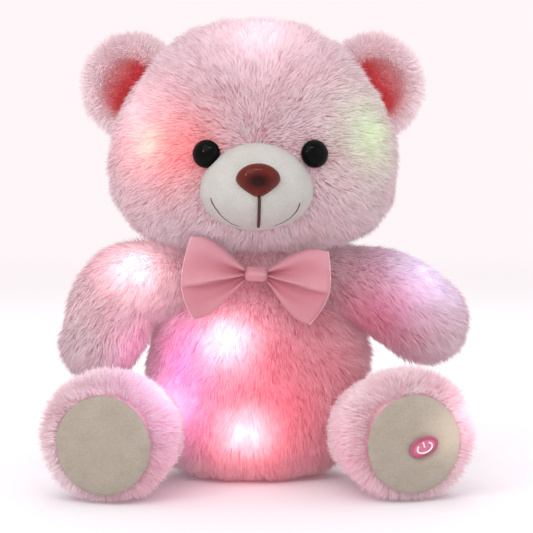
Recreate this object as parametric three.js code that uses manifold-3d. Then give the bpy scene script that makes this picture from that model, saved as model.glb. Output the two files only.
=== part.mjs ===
// A seated plush bear night light: stuffed body, lamps under the pile, battery pack in the back
// and a press switch behind the sole of its left foot. Millimetres, +Z up. The bear faces -Y, its
// own left side is +X, and the origin is on the floor in the middle of its seat.
import * as THREE from "three";
import { mergeVertices } from "three/addons/utils/BufferGeometryUtils.js";
import Module from "manifold-3d";

const wasm = await Module();
wasm.setup();

// Clearances and making
const gap = 0.35; // between neighbours that are sewn, pressed or laid together
const runningGap = 0.45; // between pieces that move past each other
const overrun = 6; // how far a cutting tool runs past the face that it cuts
const weld = 0.001; // vertices closer than this are one
const probe = 0.05; // step that a surface slope is measured over
const floorCut = 0.5; // depth of the flat that the stuffing settles to on the floor

// Stuffed forms: width on X, depth on Y, height on Z, and where their underside is
const torso = {
  width: 127,
  depth: 108,
  height: 168,
  base: -floorCut,
  forward: 0,
  lowFullnessShare: 0.62,
  highFullnessShare: 0.72,
  leanShare: 0.32,
};
const neckShare = 0.1756; // of the torso's height lies inside the head
const head = {
  width: 167,
  depth: 126,
  height: 131,
  base: torso.base + (1 - neckShare) * torso.height,
  forward: 8,
  lowFullnessShare: 0.6,
  highFullnessShare: 0.66,
  leanShare: 0.22,
};
const torsoSides = 26;
const torsoRings = 13;
const headSides = 28;
const headRings = 14;

// Muzzle
const muzzle = {
  widthShare: 0.395, // of the head
  height: 52,
  out: 23,
  sink: 20,
  heightShare: 0.29, // its middle, up the head
  narrowShare: 0.1,
  bluntShare: 0.75,
};
const muzzleSides = 20;
const muzzleRings = 10;

// Ears
const earRadius = 29.5;
const earThickness = 19;
const earDish = 9;
const earPlaces = { spreadShare: 0.862, heightShare: 0.73, backShare: 0.19 };
const earTilt = 0.12; // radians, the top leans outwards
const earCup = 0.3; // radians, the dish looks outwards
const earSides = 18;

// Eyes
const eyeRadius = 7.6;
const eyeDome = 5.4;
const eyeSink = 1.6;
const eyePlace = { acrossShare: 0.369, heightShare: 0.4275 };
const stemRadius = 2.3;
const stemRib = 0.5;
const stemLength = 15;
const stemRibs = 3;
const washerRadius = 9;
const washerThickness = 1.6;
const washerDepth = 7; // from the back of the eye or nose to the washer
const turnedSides = 14;

// Nose
const noseWidth = 25;
const noseHeight = 18.5;
const noseThickness = 8.4;
const noseEdge = 3.2;
const noseRound = 5.5;
const noseLift = 5; // above the middle of the muzzle
const noseSink = 3.6;

// Arms: the root is a ball seated in the shoulder, and the tip hangs or reaches out
const shoulder = { spreadShare: 0.787, forwardShare: 0.222, heightShare: 0.702 };
const armLeft = {
  rootRadius: 21,
  tipRadius: 24.5,
  swell: 2.5,
  elbow: { out: 30, forward: 5, drop: 8.5 },
  tip: { out: 50, forward: 10, drop: 21.5 },
  lampShare: 0.7,
  lampLook: [0.57, -0.45, 0.69],
};
const armRight = {
  rootRadius: 20.5,
  tipRadius: 23,
  swell: 3.5,
  elbow: { out: 27, forward: 4, drop: 5 },
  tip: { out: 40, forward: 12, drop: 32.5 },
  lampShare: 0.28,
  lampLook: [-0.1, -0.95, 0.25],
};
const legLampLook = { left: [0.95, -0.12, 0.2], right: [0.9, -0.28, 0.34] };
const limbSides = 16;
const seatSides = 20;
const seatGap = 1; // round the root ball of a limb
const armSwing = { back: -15, forth: 25 }; // degrees about X

// Legs: the root is a ball seated in the hip, and the foot is a ball cut flat at the sole
const legRootRadius = 30;
const hip = { spreadShare: 0.63, forwardShare: 0.556, height: legRootRadius + 2 * floorCut };
const footRadius = 36;
const foot = { out: 39, forward: 49, height: footRadius - floorCut };
const legSwell = 0.5;
const legLift = { down: 0, up: 15 }; // degrees about X
const soleTurn = 0.3; // radians, the sole looks outwards
const soleReach = 24; // from the middle of the foot to the sole
const padRadius = 27.5;
const padDrop = 2.3; // the sole sits low on the foot
const padThickness = 3;
const padEdge = 1;
const padSides = 24;
const sweepStep = 20; // degrees between the places that a cut is made at

// Bow
const bowHeightShare = 0.741; // up the torso
const bowLead = 11; // the middle of the wings ahead of the chest
const knotWidth = 13;
const knotHeight = 10;
const knotDepth = 21;
const knotBack = 13.5; // its back, pressed to the chest, behind the middle of the wings
const knotEdge = 3;
const wingLength = 36;
const wingHeight = 42;
const wingDroop = 4.5; // the outer edge hangs this far below the knot
const wingRoot = 8;
const wingThickness = 13;
const wingEdge = 3.6;
const wingSweep = 3; // the outer edge stands this far ahead of the knot
const wingSides = 20;
const wingRings = 9;
const wingShares = {
  flareEnd: 0.85,
  flarePower: 1.2,
  creasePlace: -0.15,
  creaseWidth: 0.2,
  creaseDepth: 0.6,
  creaseStart: 0.33,
  corner: 0.2,
};
const bowTilt = 0.05; // radians

// Lamps and their wires
const lampRadius = 2.5;
const lampFlange = 2.9;
const lampLength = 8;
const lampFlangeThickness = 1;
const lampSink = 1.2; // top of the lamp below the cloth
const lampSides = 8;
const wireRadius = 1.1;
const wireSides = 5;
const wireSteps = 5;
const spliceRadius = 2.6;
const tailLength = 4; // a wire runs straight for this far behind its lamp

// Battery pack
const cellRadius = 7.1;
const cellLength = 49.2;
const cellNubRadius = 2.7;
const cellNub = 1.3;
const cellPitch = 15.4;
const cellCount = 3;
const cellSides = 14;
const packWall = 1.6;
const springRoom = 5.4;
const contactThickness = 0.5;
const contactWidth = 9;
const boardBay = 8;
const boardThickness = 1.2;
const boardMargin = 0.6;
const chipWidth = 8;
const chipThickness = 1.6;
const ribHeight = 4;
const coverThickness = 1.8;
const coverGrip = { width: 16, height: 2.4, depth: 0.6, count: 3, pitch: 4.5 };
const screwRadius = 1.3;
const screwHeadRadius = 2.6;
const screwHeadThickness = 1.4;
const screwLength = 8;
const screwSlot = 0.6;
const bossRadius = 3.4;
const packLow = 28.5; // underside of the pack above the floor
const packRoom = 0.15; // from the upper corners of the pack to the flap
const springWire = 0.35;
const springTurns = 2;
const springRadius = 3.2;
const springStepsPerTurn = 8;
const springSides = 5;

// Pocket in the back and its flap
const flap = { width: 61, low: 13, high: 102, thickness: 2.2 };
const flapRoom = 0.7; // under the flap, where it turns past the ledge
const tapeThickness = 0.8;
const tapeWidth = 44;
const tapeHeight = 9;
const tapeMargin = 2;

// Press switch behind the left sole
const patch = {
  width: 17,
  height: 10,
  thickness: 1.8,
  proud: 0.6,
  turn: 0.35, // radians, its outer end is raised
  across: 4.8,
  down: 1.4,
};
const pressTravel = 2;
const switchRadius = 11;
const switchDepth = 13;
const switchWall = 1.4;
const switchSink = 0.5;
const buttonStemRadius = 3.6;
const buttonFlangeRadius = 6.4;
const buttonFlangeThickness = 1.4;
const buttonNubRadius = 1.6;
const switchBoardThickness = 1.4;
const switchSides = 18;
const switchSpringRadius = 4.6;
const switchSpringTurns = 2;

const mats = {
  plush: new THREE.MeshStandardMaterial({ color: 0xd9a0ad, roughness: 0.95, metalness: 0 }),
  cream: new THREE.MeshStandardMaterial({ color: 0xcfc0ae, roughness: 0.9, metalness: 0 }),
  satin: new THREE.MeshStandardMaterial({ color: 0xcf8c98, roughness: 0.6, metalness: 0 }),
  nose: new THREE.MeshStandardMaterial({ color: 0x3c130d, roughness: 0.2, metalness: 0 }),
  eye: new THREE.MeshStandardMaterial({ color: 0x070707, roughness: 0.1, metalness: 0 }),
  washer: new THREE.MeshStandardMaterial({ color: 0xe6e6e2, roughness: 0.5, metalness: 0 }),
  lamp: new THREE.MeshStandardMaterial({
    color: 0xfff2f8,
    roughness: 0.2,
    metalness: 0,
    emissive: 0xffd9ee,
  }),
  wire: new THREE.MeshStandardMaterial({ color: 0xf2f2f2, roughness: 0.6, metalness: 0 }),
  shell: new THREE.MeshStandardMaterial({ color: 0xf0efec, roughness: 0.5, metalness: 0 }),
  board: new THREE.MeshStandardMaterial({ color: 0x2c6b3f, roughness: 0.6, metalness: 0 }),
  steel: new THREE.MeshStandardMaterial({ color: 0xc4c7cb, roughness: 0.3, metalness: 1 }),
  cell: new THREE.MeshStandardMaterial({ color: 0x4a4d52, roughness: 0.4, metalness: 0.2 }),
  tape: new THREE.MeshStandardMaterial({ color: 0xdedbd8, roughness: 0.95, metalness: 0 }),
  patch: new THREE.MeshStandardMaterial({ color: 0xb8788c, roughness: 0.85, metalness: 0 }),
};

// Solids

function solid(geometry) {
  const bare = geometry.clone();
  bare.deleteAttribute("normal");
  bare.deleteAttribute("uv");
  const merged = mergeVertices(bare, weld);
  const corners = merged.index.array;
  const kept = [];
  for (let i = 0; i < corners.length; i += 3) {
    const [a, b, c] = corners.slice(i, i + 3);
    if (a !== b && b !== c && c !== a) kept.push(a, b, c);
  }
  const build = (order) =>
    new wasm.Manifold(
      new wasm.Mesh({
        numProp: 3,
        vertProperties: merged.attributes.position.array,
        triVerts: new Uint32Array(order),
      }),
    );
  const made = build(kept);
  return made.volume() < 0 ? build(kept.reverse()) : made;
}

function geometryOf(made) {
  const mesh = made.getMesh();
  const geometry = new THREE.BufferGeometry();
  const positions = new Float32Array(mesh.numVert * 3);
  for (let i = 0; i < mesh.numVert; i += 1) {
    positions.set(mesh.vertProperties.subarray(i * mesh.numProp, i * mesh.numProp + 3), i * 3);
  }
  geometry.setAttribute("position", new THREE.BufferAttribute(positions, 3));
  geometry.setIndex(new THREE.BufferAttribute(mesh.triVerts, 1));
  geometry.computeVertexNormals();
  return geometry;
}

function piece(name, made, material) {
  const mesh = new THREE.Mesh(geometryOf(made), material);
  mesh.name = name;
  return mesh;
}

function join(solids) {
  return solids.reduce((sum, next) => sum.add(next));
}

function placed(geometry, matrix) {
  return solid(geometry.clone().applyMatrix4(matrix));
}

// Shapes

// A closed form whose rows run from one pole to the other, each vertex set by place(row share, turn)
function ball(sides, rings, place) {
  const geometry = new THREE.SphereGeometry(1, sides, rings);
  const position = geometry.attributes.position;
  for (let row = 0; row <= rings; row += 1) {
    for (let side = 0; side <= sides; side += 1) {
      const turn = side === sides ? 0 : (2 * Math.PI * side) / sides;
      const corner = place(row / rings, turn);
      position.setXYZ(row * (sides + 1) + side, corner.x, corner.y, corner.z);
    }
  }
  return geometry;
}

// A profile of [radius, height] points turned round Z
function turned(profile, sides) {
  const points = profile.map(([radius, height]) => new THREE.Vector2(radius, height));
  return new THREE.LatheGeometry(points, sides).rotateX(Math.PI / 2);
}

function cylinder(radius, low, high, sides) {
  return turned([[0, low], [radius, low], [radius, high], [0, high]], sides);
}

function block(width, depth, height) {
  return new THREE.BoxGeometry(width, depth, height);
}

function vec(x, y, z) {
  return new THREE.Vector3(x, y, z);
}

function at(x, y, z) {
  return new THREE.Matrix4().makeTranslation(x, y, z);
}

// Local +Z looks along the direction
function facing(point, direction) {
  const turn = new THREE.Quaternion().setFromUnitVectors(vec(0, 0, 1), direction.clone().normalize());
  return new THREE.Matrix4().compose(point, turn, vec(1, 1, 1));
}

// Stuffed forms

// Radius share at a share of the height: a rounded body that leans its width downwards
function swellShare(form, angle) {
  const up = (1 - Math.cos(angle)) / 2;
  const fullness = form.lowFullnessShare + (form.highFullnessShare - form.lowFullnessShare) * up;
  return Math.sin(angle) ** fullness * (1 + form.leanShare * Math.cos(angle));
}

function widestShare(form) {
  const samples = 200;
  let widest = 0;
  for (let i = 0; i <= samples; i += 1) {
    widest = Math.max(widest, swellShare(form, (Math.PI * i) / samples));
  }
  return widest;
}

function stuffed(form, grow, sides, rings) {
  const widest = widestShare(form);
  return ball(sides, rings, (share, turn) => {
    const angle = Math.PI * share;
    const swell = share === 1 ? 0 : swellShare(form, angle) / widest;
    return vec(
      (form.width / 2 + grow) * swell * Math.cos(turn),
      (form.depth / 2 + grow) * swell * Math.sin(turn) - form.forward,
      form.base - grow + ((form.height + 2 * grow) * (1 - Math.cos(angle))) / 2,
    );
  });
}

// How far the surface lies from the middle along Y at a place in the front view
function reachAt(form, x, z) {
  const angle = Math.acos(1 - (2 * (z - form.base)) / form.height);
  const swell = swellShare(form, angle) / widestShare(form);
  const across = x / ((form.width / 2) * swell);
  return (form.depth / 2) * swell * Math.sqrt(Math.max(0, 1 - across * across));
}

// The front view place at shares of the height and of the width there
function placeOn(form, acrossShare, heightShare) {
  const angle = Math.acos(1 - 2 * heightShare);
  const swell = swellShare(form, angle) / widestShare(form);
  return { x: (acrossShare * swell * form.width) / 2, z: form.base + heightShare * form.height };
}

function frontPoint(form, x, z) {
  return vec(x, -form.forward - reachAt(form, x, z), z);
}

function frontNormal(form, x, z) {
  const slopeX = (reachAt(form, x + probe, z) - reachAt(form, x - probe, z)) / (2 * probe);
  const slopeZ = (reachAt(form, x, z + probe) - reachAt(form, x, z - probe)) / (2 * probe);
  return vec(-slopeX, -1, -slopeZ).normalize();
}

// A limb: a round tube of changing radius along a spine, closed by half balls
function limb(spine, rootRadius, tipRadius, swell, grow, rows) {
  const steps = rows.body;
  const total = steps + 2 * rows.cap;
  return ball(limbSides, total, (share, turn) => {
    const row = Math.round(share * total);
    const along = THREE.MathUtils.clamp((row - rows.cap) / steps, 0, 1);
    const centre = spine.getPoint(along);
    const tangent = spine.getTangent(along);
    const side = vec(0, 0, 1).cross(tangent).normalize();
    const over = tangent.clone().cross(side);
    const taper = rootRadius + (tipRadius - rootRadius) * along;
    const base = taper + swell * Math.sin(Math.PI * along) + grow;
    const capRow = Math.min(row, total - row, rows.cap);
    const capAngle = (Math.PI / 2) * (capRow / rows.cap);
    const beyond = base * Math.cos(capAngle) * (row < rows.cap ? -1 : 1);
    const radius = base * Math.sin(capAngle);
    return centre
      .addScaledVector(tangent, capRow === rows.cap ? 0 : beyond)
      .addScaledVector(side, radius * Math.cos(turn))
      .addScaledVector(over, radius * Math.sin(turn));
  });
}

// Everything that a solid passes through as it turns about an axis through a point
function swept(geometry, point, axis, lowDegrees, highDegrees) {
  const copies = [];
  const steps = Math.ceil((highDegrees - lowDegrees) / sweepStep);
  for (let i = 0; i <= steps; i += 1) {
    const degrees = lowDegrees + ((highDegrees - lowDegrees) * i) / steps;
    const turn = new THREE.Matrix4()
      .makeTranslation(point.x, point.y, point.z)
      .multiply(new THREE.Matrix4().makeRotationAxis(axis, THREE.MathUtils.degToRad(degrees)))
      .multiply(new THREE.Matrix4().makeTranslation(-point.x, -point.y, -point.z));
    copies.push(placed(geometry, turn));
  }
  return join(copies);
}

function aboveFloor(made) {
  const span = torso.width * 3;
  return made.subtract(placed(block(span, span, span), at(0, 0, -span / 2)));
}

// Wires

function tube(points, radius) {
  const curve = new THREE.CatmullRomCurve3(points, false, "centripetal");
  const section = new THREE.Shape();
  for (let i = 0; i < wireSides; i += 1) {
    const turn = (2 * Math.PI * i) / wireSides;
    if (i === 0) section.moveTo(radius, 0);
    else section.lineTo(radius * Math.cos(turn), radius * Math.sin(turn));
  }
  section.closePath();
  return new THREE.ExtrudeGeometry(section, { steps: wireSteps, extrudePath: curve, bevelEnabled: false });
}

// The runs of one harness as a solid, with a taped splice where they meet
function harness(runs, splices, grow) {
  const blob = new THREE.SphereGeometry(spliceRadius + grow, lampSides, lampSides / 2);
  const tubes = runs.map((points) => solid(tube(points, wireRadius + grow)));
  return join([...splices.map((point) => placed(blob, at(point.x, point.y, point.z))), ...tubes]);
}

// Lamps: local +Z is the way the lamp looks, and its flange rests at the bottom of the pocket

function lampGeometry() {
  const dome = [];
  const domeSteps = 3;
  for (let i = 0; i <= domeSteps; i += 1) {
    const angle = ((Math.PI / 2) * i) / domeSteps;
    dome.push([lampRadius * Math.cos(angle), lampLength - lampRadius + lampRadius * Math.sin(angle)]);
  }
  dome[domeSteps][0] = 0;
  const high = lampFlangeThickness;
  return turned([[0, 0], [lampFlange, 0], [lampFlange, high], [lampRadius, high], ...dome], lampSides);
}

function lampSeat(point, direction) {
  const back = point.clone().addScaledVector(direction, -lampSink - lampLength);
  return { point: back, direction, frame: facing(back, direction) };
}

function lampPocket(seat) {
  const high = lampLength + lampSink + overrun;
  return placed(cylinder(lampFlange + gap, -2 * gap, high, lampSides), seat.frame);
}

function lampPiece(name, seat) {
  const mesh = piece(name, solid(lampGeometry()), mats.lamp);
  mesh.applyMatrix4(seat.frame);
  return mesh;
}

// Where a wire meets the back of a lamp, and the place it comes straight from
function lampTail(seat) {
  const end = seat.point.clone().addScaledVector(seat.direction, -gap);
  return [end.clone().addScaledVector(seat.direction, -tailLength), end];
}

// Body forms

const torsoForm = (grow) => stuffed(torso, grow, torsoSides, torsoRings);
const headForm = (grow) => stuffed(head, grow, headSides, headRings);
const limbRows = { body: 4, cap: 3 };

function shoulderPoint(side) {
  return vec(
    (side * shoulder.spreadShare * torso.width) / 2,
    (-shoulder.forwardShare * torso.depth) / 2,
    torso.base + shoulder.heightShare * torso.height,
  );
}

function hipPoint(side) {
  return vec((side * hip.spreadShare * torso.width) / 2, (-hip.forwardShare * torso.depth) / 2, hip.height);
}

function footPoint(side) {
  return hipPoint(side).add(vec(side * foot.out, -foot.forward, foot.height - hip.height));
}

function armSpine(side, arm) {
  const root = shoulderPoint(side);
  const from = ({ out, forward, drop }) => root.clone().add(vec(side * out, -forward, -drop));
  return new THREE.CatmullRomCurve3([root, from(arm.elbow), from(arm.tip)]);
}

function armForm(side, arm, grow) {
  return limb(armSpine(side, arm), arm.rootRadius, arm.tipRadius, arm.swell, grow, limbRows);
}

function legSpine(side) {
  return new THREE.CatmullRomCurve3([hipPoint(side), footPoint(side)]);
}

function legForm(side, grow) {
  return limb(legSpine(side), legRootRadius, footRadius, legSwell, grow, limbRows);
}

const sides = [{ side: 1, name: "left", arm: armLeft }, { side: -1, name: "right", arm: armRight }];

// Lamps sit where the light shows through the pile: across the form at that height, and up it
const lampPlaces = {
  crown: { acrossShare: 0.078, heightShare: 0.947 },
  temple_left: { acrossShare: 0.82, heightShare: 0.504 },
  temple_right: { acrossShare: -0.738, heightShare: 0.481 },
  chest: { acrossShare: -0.269, heightShare: 0.503 },
  belly: { acrossShare: -0.081, heightShare: 0.199 },
};
const headLamps = ["crown", "temple_left", "temple_right"];
const torsoLamps = ["chest", "belly"];

function frontLamp(form, place) {
  const { x, z } = placeOn(form, place.acrossShare, place.heightShare);
  return lampSeat(frontPoint(form, x, z), frontNormal(form, x, z));
}

// Head, ears, face

const torsoTop = torso.base + torso.height;

function headPieces() {
  const seats = Object.fromEntries(headLamps.map((name) => [name, frontLamp(head, lampPlaces[name])]));
  const hub = vec(0, 0, head.base + head.height / 2);
  const neck = vec(0, 0, torsoTop + runningGap + gap);
  const runs = [[neck, vec(0, 0, (neck.z + hub.z) / 2), hub]];
  for (const seat of Object.values(seats)) {
    runs.push([hub, ...lampTail(seat)]);
  }
  const cutters = [
    solid(stuffed({ ...torso, depth: torso.width }, runningGap, torsoSides, torsoRings)),
    harness(runs, [hub], gap),
    solid(cylinder(wireRadius + gap, torsoTop - overrun, neck.z + overrun, wireSides)),
    ...Object.values(seats).map(lampPocket),
  ];
  const eyes = sides.map(({ side, name }) => {
    const { x, z } = placeOn(head, side * eyePlace.acrossShare, eyePlace.heightShare);
    const point = frontPoint(head, x, z);
    const direction = frontNormal(head, x, z);
    return { name, frame: facing(point.addScaledVector(direction, -eyeSink), direction) };
  });
  for (const eye of eyes) {
    cutters.push(stemPocket(eye.frame, eyeRadius));
  }
  const made = cutters.reduce((sum, cutter) => sum.subtract(cutter), solid(headForm(0)));
  const group = new THREE.Group();
  group.add(piece("head", made, mats.plush));
  for (const eye of eyes) {
    group.add(stemmed("eye_" + eye.name, solid(eyeGeometry()), mats.eye, eye.frame));
    group.add(stemmed("eye_washer_" + eye.name, solid(washerGeometry()), mats.washer, eye.frame));
  }
  for (const [name, seat] of Object.entries(seats)) {
    group.add(lampPiece("lamp_" + name, seat));
  }
  group.add(piece("head_harness", harness(runs, [hub], 0), mats.wire));
  for (const { side, name } of sides) {
    group.add(piece("ear_" + name, earSolid(side), mats.plush));
  }
  group.add(...muzzlePieces());
  return group;
}

function stemmed(name, made, material, frame) {
  const mesh = piece(name, made, material);
  mesh.applyMatrix4(frame);
  return mesh;
}

// The stem of an eye or nose: ribs that the washer is pushed over. Profile points run backwards
function stemProfile(backRadius) {
  const pitch = (stemLength - washerThickness) / stemRibs;
  const points = [[0, -stemLength]];
  for (let rib = stemRibs; rib > 0; rib -= 1) {
    points.push([stemRadius - stemRib, -rib * pitch], [stemRadius, -(rib - 1) * pitch - gap]);
  }
  points.push([stemRadius, 0], [backRadius, 0]);
  return points;
}

function eyeGeometry() {
  const domeSteps = 5;
  const points = stemProfile(eyeRadius);
  for (let i = 0; i <= domeSteps; i += 1) {
    const angle = ((Math.PI / 2) * i) / domeSteps;
    points.push([eyeRadius * Math.cos(angle), stemRib + eyeDome * Math.sin(angle)]);
  }
  points[points.length - 1][0] = 0;
  return turned(points, turnedSides);
}

function washerGeometry() {
  const inner = stemRadius + gap;
  const low = -washerDepth - washerThickness;
  return turned(
    [
      [inner, low],
      [washerRadius, low],
      [washerRadius, -washerDepth],
      [inner + washerThickness, -washerDepth + washerThickness / 2],
      [inner, -washerDepth],
      [inner, low],
    ],
    turnedSides,
  );
}

function stemPocket(frame, seatRadius) {
  const low = -washerDepth - washerThickness - gap;
  const high = -washerDepth + washerThickness / 2 + gap;
  return join([
    placed(cylinder(stemRadius + gap, -stemLength - gap, gap, turnedSides), frame),
    placed(cylinder(washerRadius + gap, low, high, turnedSides), frame),
    placed(cylinder(seatRadius + gap, -gap, overrun, turnedSides), frame),
  ]);
}

function earSolid(side) {
  const rim = earThickness / 2;
  const profile = [[0, -rim]];
  const backSteps = 4;
  for (let i = 1; i < backSteps; i += 1) {
    const angle = ((Math.PI / 2) * i) / backSteps;
    profile.push([earRadius * Math.sin(angle), -rim * Math.cos(angle)]);
  }
  const rimShares = [[1, 0], [0.98, 0.6], [0.88, 1], [0.74, 0.95], [0.5, 0.35], [0.2, 0.08]];
  for (const [radiusShare, heightShare] of rimShares) {
    profile.push([earRadius * radiusShare, rim - earDish + earDish * heightShare]);
  }
  profile.push([0, rim - earDish]);
  const frame = new THREE.Matrix4().compose(
    vec(
      (side * earPlaces.spreadShare * head.width) / 2,
      (earPlaces.backShare * head.depth) / 2 - head.forward,
      head.base + earPlaces.heightShare * head.height,
    ),
    new THREE.Quaternion().setFromEuler(new THREE.Euler(Math.PI / 2, side * earTilt, side * earCup, "ZYX")),
    vec(1, 1, 1),
  );
  return placed(turned(profile, earSides), frame).subtract(solid(headForm(gap)));
}

// Muzzle and nose

function muzzleMiddle() {
  const { z } = placeOn(head, 0, muzzle.heightShare);
  return vec(0, muzzle.sink - head.forward - reachAt(head, 0, z), z);
}

// How far the muzzle stands out at a height above its middle
function muzzleReach(rise) {
  const share = rise / (muzzle.height / 2);
  const narrow = 1 - muzzle.narrowShare * share;
  const blunt = Math.max(0, 1 - share * share) ** (muzzle.bluntShare / 2);
  return (muzzle.out + muzzle.sink) * blunt * Math.sqrt(narrow);
}

function muzzleForm() {
  const middle = muzzleMiddle();
  return ball(muzzleSides, muzzleRings, (share, turn) => {
    const angle = Math.PI * share;
    const up = -Math.cos(angle);
    const rise = (muzzle.height / 2) * up;
    const reach = share === 1 ? 0 : muzzleReach(rise);
    const narrow = 1 - muzzle.narrowShare * up;
    return vec(
      middle.x + ((muzzle.widthShare * head.width) / 2) * Math.sin(angle) * Math.cos(turn) * narrow,
      middle.y + reach * Math.sign(Math.sin(turn)) * Math.abs(Math.sin(turn)) ** muzzle.bluntShare,
      middle.z + rise,
    );
  });
}

function muzzlePieces() {
  const middle = muzzleMiddle();
  const slope = (muzzleReach(noseLift - probe) - muzzleReach(noseLift + probe)) / (2 * probe);
  const direction = vec(0, -1, slope).normalize();
  const point = vec(middle.x, middle.y - muzzleReach(noseLift), middle.z + noseLift);
  const frame = facing(point.addScaledVector(direction, -noseSink), direction);
  const stem = turned([...stemProfile(stemRadius), [0, 0]], turnedSides);
  const noseSolid = solid(noseGeometry()).add(solid(stem));
  const made = solid(muzzleForm())
    .subtract(solid(headForm(gap)))
    .subtract(stemPocket(frame, noseWidth / 2));
  return [
    piece("muzzle", made, mats.cream),
    stemmed("nose", noseSolid, mats.nose, frame),
    stemmed("nose_washer", solid(washerGeometry()), mats.washer, frame),
  ];
}

// A rounded triangle that points down, domed by its bevel
function noseGeometry() {
  const w = noseWidth / 2 - noseEdge;
  const h = noseHeight / 2 - noseEdge;
  const r = noseRound - noseEdge;
  const shape = new THREE.Shape();
  shape.moveTo(0, -h);
  shape.quadraticCurveTo(w / 2, -h, w, h - r);
  shape.quadraticCurveTo(w, h, w - r, h);
  shape.lineTo(r - w, h);
  shape.quadraticCurveTo(-w, h, -w, h - r);
  shape.quadraticCurveTo(-w / 2, -h, 0, -h);
  const geometry = new THREE.ExtrudeGeometry(shape, {
    depth: noseThickness - 2 * noseEdge,
    curveSegments: 4,
    bevelThickness: noseEdge,
    bevelSize: noseEdge,
    bevelSegments: 3,
  });
  return geometry.translate(0, 0, noseEdge);
}

// Torso, its wiring and the pocket in its back

const contactRoom = contactThickness + 2 * gap;
const cellLow = packWall + springRoom;
const bayLow = cellLow + cellLength + cellNub + contactRoom + packWall;
const boxDepth = packWall + 2 * cellRadius + gap;
const pack = {
  width: cellCount * cellPitch + 2 * packWall,
  depth: boxDepth + gap + coverThickness,
  height: bayLow + boardBay + packWall,
};
const packTop = packLow + pack.height;
const boardHeight = packLow + bayLow + boardBay / 2;
const wiringHub = vec(0, 0, boardHeight);
const waist = hipPoint(1).setX(0);
const collar = shoulderPoint(1).setX(0);
const packFront =
  reachAt(torso, pack.width / 2, packTop) - flap.thickness - flapRoom - packRoom - pack.depth;

// A ball seat needs room for the flats of the faceted ball that turns in it
function seatRadius(radius, clearance) {
  return (radius + clearance) / Math.cos(Math.PI / seatSides) ** 2;
}

function ballSeat(point, radius, clearance) {
  const geometry = new THREE.SphereGeometry(seatRadius(radius, clearance), seatSides, seatSides / 2);
  return placed(geometry, at(point.x, point.y, point.z));
}

function crossBar(point, leftReach, rightReach, radius) {
  const bar = cylinder(radius, -rightReach, leftReach, wireSides).rotateY(Math.PI / 2);
  return placed(bar, at(point.x, point.y, point.z));
}

function torsoHarness(seats, grow, past) {
  const runs = [
    [vec(0, packFront + packWall + boardMargin - gap, boardHeight), wiringHub],
    [wiringHub, collar],
    [collar, vec(0, 0, (collar.z + torsoTop) / 2), vec(0, 0, torsoTop + past)],
    [wiringHub, vec(0, waist.y / 2, (wiringHub.z + waist.z) / 2), waist],
    [waist, ...lampTail(seats.belly)],
    [wiringHub, ...lampTail(seats.chest)],
  ];
  const reachOf = (point, radius) => point.x - seatRadius(radius, seatGap) - gap + past;
  const shoulderReach = ({ arm }) => reachOf(shoulderPoint(1), arm.rootRadius);
  const hipReach = reachOf(hipPoint(1), legRootRadius);
  const bars = [
    crossBar(collar, ...sides.map(shoulderReach), wireRadius + grow),
    crossBar(waist, hipReach, hipReach, wireRadius + grow),
  ];
  return join([harness(runs, [wiringHub, collar, waist], grow), ...bars]);
}

// A slice of the torso's skin between two depths
function skin(outer, inner) {
  return solid(torsoForm(-outer)).subtract(solid(torsoForm(-inner)));
}

// A window in the back, as a block from the middle of the torso to behind it
function backWindow(width, low, high) {
  const depth = torso.depth;
  return placed(block(width, depth, high - low), at(0, depth / 2 + overrun, (high + low) / 2));
}

const tape = { low: flap.low + tapeMargin, high: flap.low + tapeMargin + tapeHeight };
const hookDepth = flap.thickness + gap;
const loopDepth = hookDepth + tapeThickness + gap;
const tapeSeatDepth = loopDepth + tapeThickness + gap;

function torsoPieces() {
  const seats = Object.fromEntries(torsoLamps.map((name) => [name, frontLamp(torso, lampPlaces[name])]));
  const well = placed(
    block(pack.width + 2 * gap, torso.depth, pack.height + 2 * gap),
    at(0, packFront - gap + torso.depth / 2, (packLow + packTop) / 2),
  );
  const mouth = backWindow(flap.width + 2 * runningGap, flap.low - runningGap, flap.high + runningGap);
  const tapeWindow = backWindow(tapeWidth + 2 * gap, tape.low - gap, tape.high + gap);
  const cutters = [
    ballSeat(shoulderPoint(1), armLeft.rootRadius, seatGap),
    ballSeat(shoulderPoint(-1), armRight.rootRadius, seatGap),
    ballSeat(hipPoint(1), legRootRadius, seatGap),
    ballSeat(hipPoint(-1), legRootRadius, seatGap),
    mouth.intersect(skin(-overrun, flap.thickness + flapRoom)),
    tapeWindow.intersect(skin(-overrun, tapeSeatDepth)),
    well,
    torsoHarness(seats, gap, gap + runningGap),
    ...Object.values(seats).map(lampPocket),
  ];
  const made = cutters.reduce((sum, cutter) => sum.subtract(cutter), solid(torsoForm(0)));
  const group = new THREE.Group();
  group.add(piece("torso", aboveFloor(made), mats.plush));
  group.add(piece("torso_harness", torsoHarness(seats, 0, 0), mats.wire));
  for (const [name, seat] of Object.entries(seats)) {
    group.add(lampPiece("lamp_" + name, seat));
  }
  const flapWindow = backWindow(flap.width, flap.low, flap.high);
  const tapeShape = backWindow(tapeWidth, tape.low, tape.high);
  group.add(piece("pocket_flap", flapWindow.intersect(skin(0, flap.thickness)), mats.plush));
  group.add(piece("hook_tape", tapeShape.intersect(skin(hookDepth, hookDepth + tapeThickness)), mats.tape));
  group.add(piece("loop_tape", tapeShape.intersect(skin(loopDepth, loopDepth + tapeThickness)), mats.tape));
  return group;
}

// Battery pack, in its own frame: X across, Y towards the back, Z up, from the middle of its front

const cellX = (index) => (index - (cellCount - 1) / 2) * cellPitch;
const cellY = packWall + gap + cellRadius;
const isFlipped = (index) => index % 2 === 1;
const bossX = packWall + bossRadius - pack.width / 2;
const bayMiddle = bayLow + boardBay / 2;

function moved(geometry, x, y, z) {
  return placed(geometry, at(x, y, z));
}

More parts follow.
